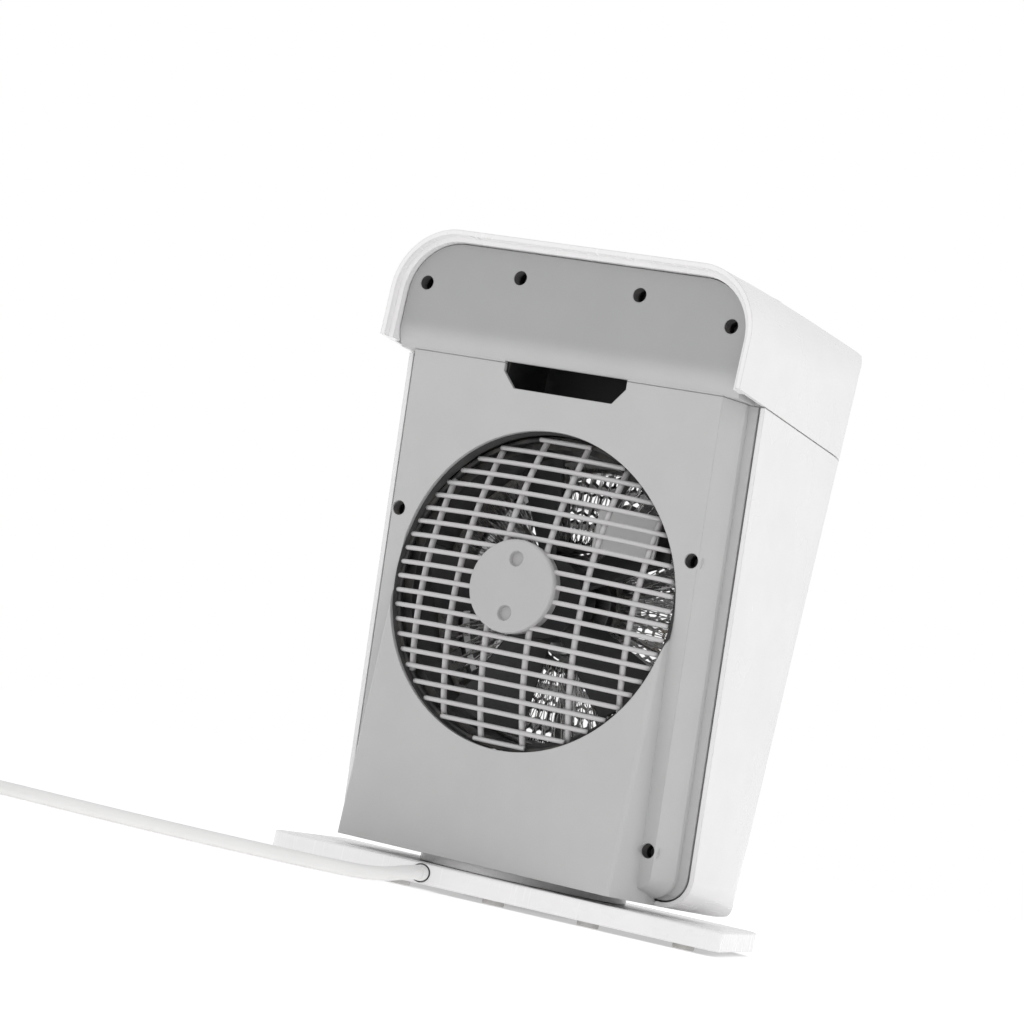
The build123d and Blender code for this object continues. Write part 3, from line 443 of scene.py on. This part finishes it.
def amber_lens():
    """A small tinted lens."""
    material, tree, shader = start_material("amber_lens")
    cloud = noise(tree, object_place(tree), 300.0, 2.0)
    shade = mix_colour(tree, cloud, (0.95, 0.35, 0.05, 1), (0.8, 0.22, 0.02, 1))
    tree.links.new(shade, shader.inputs["Base Color"])
    marks = use_group(tree, HANDLING_MARKS, Base=0.12, Spread=0.1)
    tree.links.new(marks.outputs["Roughness"], shader.inputs["Roughness"])
    shader.inputs["Transmission Weight"].default_value = 0.6
    shader.inputs["IOR"].default_value = 1.49
    return material


def floor_paper():
    """A pale studio sweep with a faint tooth."""
    material, tree, shader = start_material("floor_paper")
    tooth = noise(tree, object_place(tree), 600.0, 3.0)
    shade = mix_colour(tree, tooth, (0.955, 0.955, 0.955, 1), (0.975, 0.975, 0.975, 1))
    tree.links.new(shade, shader.inputs["Base Color"])
    shader.inputs["Roughness"].default_value = 0.9
    shader.inputs["Emission Color"].default_value = (1.0, 1.0, 1.0, 1.0)
    shader.inputs["Emission Strength"].default_value = 0.3
    return material


PANEL_GREY = (0.50, 0.50, 0.50)
BROW_ROLL = (0.270, 0.283)       # heights over which painted shade darkens the brow
# Painted shade, multiplied onto the brow's upright face.
BROW_PAINTED_SHADE = (0.745, 0.745, 0.75, 1.0)

WHITE_GLOSS = moulded_plastic(
    "gloss_white", (0.87, 0.862, 0.866), 0.26, grain=0.04, dust=0.02, coat=0.15
)
SATIN_GREY = moulded_plastic(
    "satin_grey", PANEL_GREY, 0.42, grain=0.15, grain_scale=1500.0, dust=0.05
)
BROW_SATIN_PAINTED_SHADE = brow_plastic_painted_shade()
HUB_GREY = moulded_plastic("hub_grey", (0.47, 0.465, 0.468), 0.42, grain=0.12, dust=0.05)
GRILLE_GREY = moulded_plastic("grille_grey", (0.56, 0.55, 0.555), 0.4, grain=0.12, dust=0.22)
# Dark plastic, also used for the pieces that stand for painted shade: the grille's ring, the opening's
# liner, the screw holes' sleeves and the cord's notch.
DARK_PLASTIC_AND_SHADE = moulded_plastic("dark_plastic", (0.03, 0.03, 0.032), 0.5, grain=0.2, dust=0.35)
DARK_STEEL = drawn_steel("dark_steel", (0.12, 0.12, 0.125), 0.38)
BARE_STEEL = drawn_steel("bare_steel", (0.62, 0.62, 0.63), 0.32)
WIRE_STEEL = drawn_steel("wire_steel", (0.72, 0.71, 0.70), 0.28, depth=0.05, dust=0.0)
MESH_STEEL = drawn_steel("mesh_steel", (0.80, 0.80, 0.80), 0.22, depth=0.1, dust=0.05)
BRONZE = drawn_steel("sintered_bronze", (0.55, 0.36, 0.18), 0.45)
MICA = mica_sheet()
PALE_PLATE = moulded_plastic("pale_plate", (0.62, 0.62, 0.62), 0.4, grain=0.15)
AMBER = amber_lens()
PALE_RUBBER = moulded_plastic(
    "pale_rubber", (0.72, 0.71, 0.70), 0.7, grain=0.4, grain_scale=1200.0, dust=0.3
)
CORD_WHITE = moulded_plastic(
    "cord_white", (0.84, 0.835, 0.83), 0.42, grain=0.12, edge=0.0003, dust=0.1
)

BY_SLOT = {
    "white_shell": WHITE_GLOSS,
    "grey_panel": SATIN_GREY,
    "brow_panel": BROW_SATIN_PAINTED_SHADE,
    "grey_grille": GRILLE_GREY,
    "dark_plastic": DARK_PLASTIC_AND_SHADE,
    "dark_steel": DARK_STEEL,
    "steel": BARE_STEEL,
    "bronze": BRONZE,
    "mica": MICA,
    "wire": WIRE_STEEL,
    "pale_plate": PALE_PLATE,
    "amber": AMBER,
    "rubber": PALE_RUBBER,
    "cord_white": CORD_WHITE,
}
for part in frame["record"]["subparts"]:
    node = nodes[part["node"]]
    node.data.materials.clear()
    node.data.materials.append(BY_SLOT[part["material_slot"]])
# The turntable's disc is moulded in the base plate's white.
nodes["turntable"].data.materials[0] = WHITE_GLOSS


# ---- Mains lead ---------------------------------------------------------------------------------

# In the base plate's own directions, in mm: from the strain relief to the coil, then its tail.
LEAD_ROUTE = [
    (36.5, 90, 7.9),
    (36.5, 108, 7.9),
    (47, 131, 3.5),
    (76, 152, 3.5),
    (122, 158, 3.5),
    (178, 147, 3.5),
    (224, 127, 3.5),
    (264, 114, 3.5),
    (304, 111, 3.5),
]
TAIL_ROUTE = [(343, 150, 18.4), (344, 168, 18.4), (349, 190, 17), (351, 210, 17)]
COIL_CENTRE = (304, 150)
COIL_RADIUS = 39.0            # mean radius of the turns
COIL_TURNS = 5.25
COIL_LIFT = 0.9               # the tie's band runs under the turns
POINTS_A_TURN = 14
# Each lap's place beside the mean radius, in half diameters, and its level in the coil.
LAP_SIDES = [0.0, 1.0, -1.0, -1.0, 1.0, 1.0]
LAP_LEVELS = [0, 0, 0, 1, 1, 2]
LAST_STRETCH = 0.4            # of a turn, where the cord comes back to the mean radius


def base_point(point):
    """A point in the base plate's directions, in mm, as a point in the row frame, in metres."""
    turn = math.radians(SWIVEL_AT_REST)
    x, y, z = point
    return Vector((
        (x * math.cos(turn) - y * math.sin(turn)) * MM,
        (x * math.sin(turn) + y * math.cos(turn)) * MM,
        z * MM,
    ))


def step(value):
    """0 below 0, 1 above 1, smooth between."""
    value = min(max(value, 0.0), 1.0)
    return value * value * (3 - 2 * value)


def coil_points():
    """The turns: two side by side on each of three levels, out, in, in, out, out."""
    diameter = CORD_DIAMETER / MM
    half = diameter / 2
    points = []
    for i in range(1, int(COIL_TURNS * POINTS_A_TURN)):
        turns = i / POINTS_A_TURN
        if turns < 0.5:
            side, level = step(turns * 2), 0.0
            height = half + COIL_LIFT * step(turns * 3)
        else:
            lap = min(int(turns + 0.5), len(LAP_SIDES) - 1)
            share = step((turns + 0.5 - lap) * 2.2 - 0.6)
            before = max(lap - 1, 0)
            side = LAP_SIDES[before] + (LAP_SIDES[lap] - LAP_SIDES[before]) * share
            level = LAP_LEVELS[before] + (LAP_LEVELS[lap] - LAP_LEVELS[before]) * share
            height = COIL_LIFT + half + level * diameter
        if turns > COIL_TURNS - LAST_STRETCH:
            side = side * (COIL_TURNS - turns) / LAST_STRETCH
        radius = COIL_RADIUS + side * half
        angle = math.radians(-90) + 2 * math.pi * turns
        points.append((
            COIL_CENTRE[0] + radius * math.cos(angle),
            COIL_CENTRE[1] + radius * math.sin(angle),
            height,
        ))
    return points


def add_mains_lead():
    points = [base_point(p) for p in LEAD_ROUTE + coil_points() + TAIL_ROUTE]
    line = bpy.data.curves.new("mains_lead", "CURVE")
    line.dimensions = "3D"
    line.bevel_depth = CORD_DIAMETER / 2
    line.bevel_resolution = 6
    line.use_fill_caps = True
    spline = line.splines.new("NURBS")
    spline.points.add(len(points) - 1)
    for knot, point in zip(spline.points, points):
        knot.co = (*point, 1.0)
    spline.order_u = 3
    spline.use_endpoint_u = True
    spline.resolution_u = 8
    lead = bpy.data.objects.new("mains_lead", line)
    bpy.context.scene.collection.objects.link(lead)
    line.materials.append(CORD_WHITE)
    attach(lead, "base")
    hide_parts("mains_cord", "cord_coil", "cord_tail")
    return lead


mains_lead = add_mains_lead()


# ---- Intake grille ------------------------------------------------------------------------------

GRILLE_RADIUS = (grille_high.x - grille_low.x) / 2
DOME_RISE = 21.9 * MM
HUB_STAND_OUT = 1.6 * MM
DOME_RADIUS = (GRILLE_RADIUS**2 + DOME_RISE**2) / (2 * DOME_RISE)
BAR_PITCH = 7.35 * MM
BAR_COUNT = 22
BAR_HALF = 1.25 * MM
BAR_REACH = GRILLE_RADIUS - 1.8 * MM      # the bars' free ends stop short of the ring
SHORTEST_BAR = 12.0 * MM
RIB_PITCH = 24.3 * MM
RIB_COUNT = 6
RIB_HALF = 1.6 * MM
RIB_DEPTH = 3 * BAR_HALF + 0.3 * MM       # the ribs' middles lie this far inside the dome
HUB_RADIUS = 23.7 * MM
RING_WIDTH = 2.4 * MM
RING_DEPTH = 3.0 * MM
RING_SINK = 2.5 * MM          # the ring lies this far in front of the dome's edge
DIMPLE_OFFSET = 13.8 * MM
DIMPLE_RADIUS = 3.9 * MM
DIMPLE_DEPTH = 2.6 * MM
DIMPLE_TAPER = 0.35 * MM


def dome_y(x, z, depth):
    """Y of the dome's face at a place beside the axis, a depth inside."""
    inner = DOME_RADIUS - depth
    centre = HUB_FACE - HUB_STAND_OUT - DOME_RADIUS
    return centre + math.sqrt(inner**2 - x**2 - z**2)


def bar_stretch(bm, start, end, place, half, depth, samples=40):
    """One round bar of the grille, laid on the dome from start to end along its own direction."""
    points = []
    for i in range(samples + 1):
        along = start + (end - start) * i / samples
        x, z = place(along)
        points.append(Vector((x, dome_y(x, z, depth), AXIS_Z + z)))
    sweep_tube(bm, points, half, sides=12, up=Vector((0, 1, 0)))


def bar_spans(offset):
    """Where a bar runs at an offset from the axis: one stretch, or two that meet the hub."""
    half = math.sqrt(max(BAR_REACH**2 - offset**2, 0))
    hub = math.sqrt(max((HUB_RADIUS - 1 * MM) ** 2 - offset**2, 0))
    return ((-half, -hub), (hub, half)) if hub > 0 else ((-half, half),)


def add_grille_bars():
    """Level bars on the dome's face, with upright ribs behind them."""
    bm = bmesh.new()
    for i in range(BAR_COUNT):
        z = (i - (BAR_COUNT - 1) / 2) * BAR_PITCH
        spans = bar_spans(z)
        if spans[-1][1] < SHORTEST_BAR / 2:
            continue
        samples = 40 if len(spans) == 2 else 60
        for start, end in spans:
            bar_stretch(bm, start, end, lambda a, z=z: (a, z), BAR_HALF, BAR_HALF, samples)
    for i in range(RIB_COUNT):
        x = (i - (RIB_COUNT - 1) / 2) * RIB_PITCH
        for start, end in bar_spans(x):
            bar_stretch(bm, start, end, lambda a, x=x: (x, a), RIB_HALF, RIB_DEPTH)
    bars = from_bmesh("grille_bars", bm, GRILLE_GREY)
    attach(bars, "heater")
    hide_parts("rear_grille")


def add_grille_ring():
    """The ring that holds the bars, deep in the opening, with eased rear edges, coloured dark as
    painted shade.
    """
    bm = bmesh.new()
    outer, inner = GRILLE_RADIUS, GRILLE_RADIUS - RING_WIDTH
    rear = HUB_FACE - HUB_STAND_OUT - DOME_RISE - RING_SINK
    front = rear - RING_DEPTH
    soft = 0.5 * MM
    profile = [
        (inner, front), (outer, front), (outer, rear - soft), (outer - soft, rear),
        (inner + soft, rear), (inner, rear - soft),
    ]
    join_rings(bm, turned_rings(bm, profile, steps=128))
    rim = from_bmesh("grille_rim_painted_shade", bm, DARK_PLASTIC_AND_SHADE)
    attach(rim, "heater")
    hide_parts("rear_grille")


def add_grille_hub():
    """The smooth hub disc: rolled edge, a stepped wall behind, and two shallow dimples."""
    bm = bmesh.new()
    face = HUB_FACE - 0.05 * MM
    wall = [
        (HUB_RADIUS - 3.2 * MM, face - 9.5 * MM),
        (HUB_RADIUS - 0.6 * MM, face - 9.5 * MM),
        (HUB_RADIUS - 0.6 * MM, face - 4.4 * MM),
        (HUB_RADIUS, face - 4.2 * MM),
        (HUB_RADIUS, face - 1.2 * MM),
        (HUB_RADIUS - 0.35 * MM, face - 0.35 * MM),
        (HUB_RADIUS - 1.2 * MM, face),
    ]
    rings = turned_rings(bm, wall, steps=96)
    join_rings(bm, rings, closed=False)
    bm.faces.new([ring[0] for ring in rings])
    rim = [ring[-1] for ring in rings]
    outline = [bm.edges.get(pair) for pair in zip(rim, rim[1:] + rim[:1])]
    dimple_wall = [(DIMPLE_RADIUS, face), (DIMPLE_RADIUS - DIMPLE_TAPER, face - DIMPLE_DEPTH)]
    for side in (-1, 1):
        rings = turned_rings(bm, dimple_wall, steps=32, z=AXIS_Z + side * DIMPLE_OFFSET)
        join_rings(bm, rings, closed=False)
        lip = [ring[0] for ring in rings]
        outline += [bm.edges.get(pair) for pair in zip(lip, lip[1:] + lip[:1])]
        bm.faces.new([ring[1] for ring in rings])
    bmesh.ops.triangle_fill(bm, use_beauty=True, edges=outline)
    hub = from_bmesh("grille_hub", bm, HUB_GREY, smooth=False)
    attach(hub, "heater")
    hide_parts("rear_grille")


add_grille_bars()
add_grille_ring()
add_grille_hub()


# ---- Details of the back panel and the base plate -----------------------------------------------

PANEL_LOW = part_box("back_panel")[0].z
PANEL_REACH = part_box("back_panel")[1].x
PANEL_FOOT = 34.5 * MM        # Y of the panel's screw strip at the bottom
PANEL_TILT = 8.6
PANEL_RISE = 18.5 * MM        # the screw strip stands this far behind the shell's edge
FLARE_FACE = 59.0 * MM        # Y of the upright face round the opening
BROW_FACE = 77.5 * MM
SHADE_LINER_DEPTH = 2.2 * MM         # the painted shade liner starts this far under the panel's face
SHADE_LINER_THICK = 0.12 * MM
PANEL_SCREWS = [(85.6 * MM, 186.0 * MM), (85.6 * MM, 43.0 * MM)]
BROW_SCREWS = [(88.2 * MM, 301.0 * MM), (34.6 * MM, 310.0 * MM)]
# The dark sleeves that paint the shade in the screw holes.
CUP_RADIUS = 3.68 * MM
CUP_DEPTH = 12.0 * MM
CUP_THICK = 0.1 * MM
LOW_CORNER = 17.0 * MM        # the shell's lower corners
FLANGE_INSET = 3.5 * MM       # the panel's flange lies this far inside the shell
FLOOR_INNER = 72.0 * MM
FLOOR_LAYER = (0.7 * MM, 1.5 * MM)        # depths of a corner floor's two faces
# The dark ring that paints the shadow in the cord's notch.
NOTCH_PLACE = (36.5, 80.05, 7.9)          # in the base plate's directions, in mm
NOTCH_SECTION = [(3.9, 0.0), (4.75, 0.0), (4.75, 0.2), (3.9, 0.2)]      # radius, depth in mm


def strip_y(z):
    """Y of the panel's screw strip at a height."""
    return PANEL_FOOT + (z - PANEL_LOW) * math.tan(math.radians(PANEL_TILT))


def add_intake_shade_liner():
    """Painted shade: a thin dark liner on the wall of the round opening, just under the panel's face,
    standing for the shade on that wall.
    """
    bm = bmesh.new()
    radius = GRILLE_RADIUS + 0.2 * MM
    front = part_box("fan_duct")[1].y
    steps = 160
    rings = []
    for k in range(steps):
        turn = 2 * math.pi * k / steps
        z = AXIS_Z + radius * math.sin(turn)
        rear = max(strip_y(z), FLARE_FACE) - SHADE_LINER_DEPTH
        inner = radius - SHADE_LINER_THICK
        rings.append([
            bm.verts.new((r * math.cos(turn), y, z))
            for r, y in ((radius, front), (radius, rear), (inner, rear), (inner, front))
        ])
    join_rings(bm, rings)
    shade_liner = from_bmesh("intake_shade_liner", bm, DARK_PLASTIC_AND_SHADE)
    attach(shade_liner, "heater")


def add_screw_hole_shade():
    """Painted shade: a dark sleeve in each of the panel's screw holes, down to the screw's head,
    standing for the shade deep in the holes.
    """
    bm = bmesh.new()
    spots = [(x, z, strip_y(z), 1.0 * MM) for x, z in PANEL_SCREWS]
    spots += [(x, z, BROW_FACE, 0.35 * MM) for x, z in BROW_SCREWS]
    inner = CUP_RADIUS - CUP_THICK
    for x, z, face, lip in spots:
        rear, front = face - lip, face - CUP_DEPTH
        profile = [(CUP_RADIUS, rear), (CUP_RADIUS, front), (inner, front), (inner, rear)]
        for side in (-1, 1):
            join_rings(bm, turned_rings(bm, profile, steps=40, x=side * x, z=z))
    shade_cups = from_bmesh("screw_hole_shade", bm, DARK_PLASTIC_AND_SHADE)
    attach(shade_cups, "heater")


def add_corner_floors():
    """Small sheets that close the panel's flange at its two lower corners."""
    bm = bmesh.new()
    radius = LOW_CORNER - FLANGE_INSET
    centre_x, centre_z = PANEL_REACH - radius, PANEL_LOW + LOW_CORNER
    outline = [(FLOOR_INNER, centre_z), (FLOOR_INNER, PANEL_LOW + FLANGE_INSET)]
    for k in range(13):
        turn = math.radians(-90 + 90 * k / 12)
        outline.append((centre_x + radius * math.cos(turn), centre_z + radius * math.sin(turn)))
    for side in (-1, 1):
        sheets = []
        for deep in FLOOR_LAYER:
            sheets.append([
                bm.verts.new((side * x, strip_y(z) - PANEL_RISE - deep, z)) for x, z in outline
            ])
            bm.faces.new(sheets[-1])
        rear, front = sheets
        for j in range(len(outline)):
            other = (j + 1) % len(outline)
            bm.faces.new((rear[j], rear[other], front[other], front[j]))
    floors = from_bmesh("corner_floors", bm, SATIN_GREY, smooth=False)
    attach(floors, "heater")


def add_cord_notch_shadow():
    """Painted shadow: a dark ring round the mains lead, where it leaves the base plate's rear edge,
    standing for the shadow in the cord's notch.
    """
    bm = bmesh.new()
    place = base_point(NOTCH_PLACE)
    out = (base_point(LEAD_ROUTE[0]) - place).normalized()
    over = Vector((0, 0, 1))
    side = out.cross(over).normalized()
    steps = 48
    rings = []
    for k in range(steps):
        turn = 2 * math.pi * k / steps
        spoke = side * math.cos(turn) + over * math.sin(turn)
        rings.append([
            bm.verts.new(place + spoke * radius * MM + out * depth * MM)
            for radius, depth in NOTCH_SECTION
        ])
    join_rings(bm, rings)
    notch_shadow = from_bmesh("cord_notch_shadow", bm, DARK_PLASTIC_AND_SHADE)
    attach(notch_shadow, "base")


add_intake_shade_liner()
add_screw_hole_shade()
add_corner_floors()
add_cord_notch_shadow()


# ---- Heating element ----------------------------------------------------------------------------

element_low, element_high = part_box("mica_frame")
MOTOR_CLEAR = 29.5 * MM
ELEMENT_RADIUS = (element_high.x - element_low.x) / 2
STRANDS = 150                 # in each layer of wires
LAYER_DEPTHS = (1.5 * MM, 7.0 * MM)
VEE_ANGLE = 6.5               # a strand's far end is this far round from its near end
CRIMPS = 12
SAG = 0.25 * MM
WIRE_RADIUS = 0.28 * MM
COMB_COUNT = 12
COMB_TEETH = 9
TOOTH_HEIGHT = 2.2 * MM
COMB_HALF_THICK = 0.35 * MM


def add_heating_wires():
    """Fine crimped wires strung in vees between the inner and outer rims of the mica frame."""
    bm = bmesh.new()
    random.seed(7)
    inner = MOTOR_CLEAR + 2.5 * MM
    outer = ELEMENT_RADIUS - 3.0 * MM
    for layer, depth in enumerate(LAYER_DEPTHS):
        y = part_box("heating_wires")[1].y - depth
        for k in range(STRANDS):
            near = 2 * math.pi * (k + 0.5 * layer) / STRANDS
            far = near + math.radians(VEE_ANGLE if k % 2 else -VEE_ANGLE)
            start = Vector((inner * math.cos(near), y, AXIS_Z + inner * math.sin(near)))
            end = Vector((outer * math.cos(far), y, AXIS_Z + outer * math.sin(far)))
            points = []
            for i in range(CRIMPS + 1):
                sag = random.uniform(-SAG, SAG)
                points.append(start.lerp(end, i / CRIMPS) + Vector((sag, sag * 0.8, -sag)))
            sweep_tube(bm, points, WIRE_RADIUS, sides=4, up=Vector((0, 1, 0)))
    wires = from_bmesh("resistance_wires", bm, WIRE_STEEL)
    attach(wires, "heater")
    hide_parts("heating_wires")


def add_mica_combs():
    """Scalloped mica strips that carry the wires, set evenly round the motor."""
    bm = bmesh.new()
    inner = MOTOR_CLEAR + 3.0 * MM
    outer = ELEMENT_RADIUS - 2.5 * MM
    low = element_high.y - 6 * MM
    samples = COMB_TEETH * 8
    base = Vector((0, 0, AXIS_Z))
    for k in range(COMB_COUNT):
        angle = 2 * math.pi * (k + 0.5) / COMB_COUNT
        spoke = Vector((math.cos(angle), 0, math.sin(angle)))
        side = Vector((-math.sin(angle), 0, math.cos(angle))) * COMB_HALF_THICK
        columns = []
        for i in range(samples + 1):
            share = i / samples
            radius = inner + (outer - inner) * share
            tooth = abs(math.sin(math.pi * COMB_TEETH * share))
            crest = element_high.y + TOOTH_HEIGHT * tooth
            column = []
            for offset in (-1, 1):
                at = base + spoke * radius + side * offset
                column.append(bm.verts.new((at.x, low, at.z)))
                column.append(bm.verts.new((at.x, crest, at.z)))
            columns.append(column)
        for here, after in zip(columns, columns[1:]):
            bm.faces.new((here[0], after[0], after[1], here[1]))
            bm.faces.new((here[2], here[3], after[3], after[2]))
            bm.faces.new((here[1], after[1], after[3], here[3]))
            bm.faces.new((here[0], here[2], after[2], after[0]))
        for column in (columns[0], columns[-1]):
            bm.faces.new((column[0], column[1], column[3], column[2]))
    combs = from_bmesh("mica_combs", bm, MICA, smooth=False)
    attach(combs, "heater")


add_heating_wires()
add_mica_combs()


# ---- Front mesh ---------------------------------------------------------------------------------

mesh_low, mesh_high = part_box("front_mesh")
HEX_PITCH = 6.2 * MM
HEX_WALL = 1.5 * MM
SHEET_LEAN = 0.85             # the sheet's share of its box's lean, the rest being its thickness


def add_front_mesh():
    """A thin steel sheet punched with six-sided holes, lying in the front's slight lean."""
    bm = bmesh.new()
    height = mesh_high.z - mesh_low.z
    lean = (mesh_high.y - mesh_low.y) / height
    row_step = HEX_PITCH * math.sqrt(3) / 2
    rows = int(height / row_step)
    columns = int((mesh_high.x - mesh_low.x) / HEX_PITCH)
    middle_z = (mesh_low.z + mesh_high.z) / 2
    middle_y = (mesh_low.y + mesh_high.y) / 2

    def at(x, z):
        return Vector((x, middle_y - (z - middle_z) * lean * SHEET_LEAN, z))

    corner = HEX_PITCH / math.sqrt(3)
    hole = (HEX_PITCH - HEX_WALL) / math.sqrt(3)
    for row in range(rows):
        z = middle_z + (row - (rows - 1) / 2) * row_step
        for column in range(columns - (row % 2)):
            x = (column - (columns - 1 - (row % 2)) / 2) * HEX_PITCH
            outer, inner = [], []
            for k in range(6):
                turn = math.radians(60 * k + 30)
                across, along = math.cos(turn), math.sin(turn)
                outer.append(bm.verts.new(at(x + corner * across, z + corner * along)))
                inner.append(bm.verts.new(at(x + hole * across, z + hole * along)))
            for k in range(6):
                after = (k + 1) % 6
                bm.faces.new((outer[k], outer[after], inner[after], inner[k]))
    bmesh.ops.remove_doubles(bm, verts=bm.verts, dist=0.05 * MM)
    sheet = from_bmesh("outlet_mesh", bm, MESH_STEEL, smooth=False)
    thick = sheet.modifiers.new("thickness", "SOLIDIFY")
    thick.thickness = 0.6 * MM
    thick.offset = 0.0
    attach(sheet, "heater")
    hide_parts("front_mesh")


add_front_mesh()


# ---- Floor and light ----------------------------------------------------------------------------


def add_floor():
    bm = bmesh.new()
    bmesh.ops.create_grid(bm, x_segments=1, y_segments=1, size=12.0)
    floor = from_bmesh("floor", bm, floor_paper(), smooth=False)
    floor.location.z = -0.0002


def add_light(name, place, aim, size, power):
    light = bpy.data.objects.new(name, bpy.data.lights.new(name, "AREA"))
    bpy.context.scene.collection.objects.link(light)
    light.data.shape = "DISK"
    light.data.size = size
    light.data.energy = power
    light.location = place
    light.rotation_euler = (Vector(aim) - Vector(place)).to_track_quat("-Z", "Y").to_euler()


ROOM_LIGHT = 0.84             # the room's strength on everything but the bare background
LIT_SPOT = (0, 0, 0.15)


def add_studio():
    world = bpy.data.worlds.new("studio")
    world.use_nodes = True
    tree = world.node_tree
    background = tree.nodes["Background"]
    background.inputs["Color"].default_value = (1.0, 1.0, 1.0, 1.0)
    # The background is full white, and the light on the heater a little less.
    path = tree.nodes.new("ShaderNodeLightPath")
    level = math_node(tree, "MULTIPLY_ADD", path.outputs["Is Camera Ray"], 1.0 - ROOM_LIGHT)
    level.node.inputs[2].default_value = ROOM_LIGHT
    tree.links.new(level, background.inputs["Strength"])
    bpy.context.scene.world = world
    add_light("key", (-1.6, 0.9, 1.7), LIT_SPOT, 1.2, 2.2)
    add_light("fill", (1.5, 1.9, 1.2), LIT_SPOT, 1.6, 1.0)
    bpy.context.scene.view_settings.view_transform = "Standard"


add_floor()
add_studio()
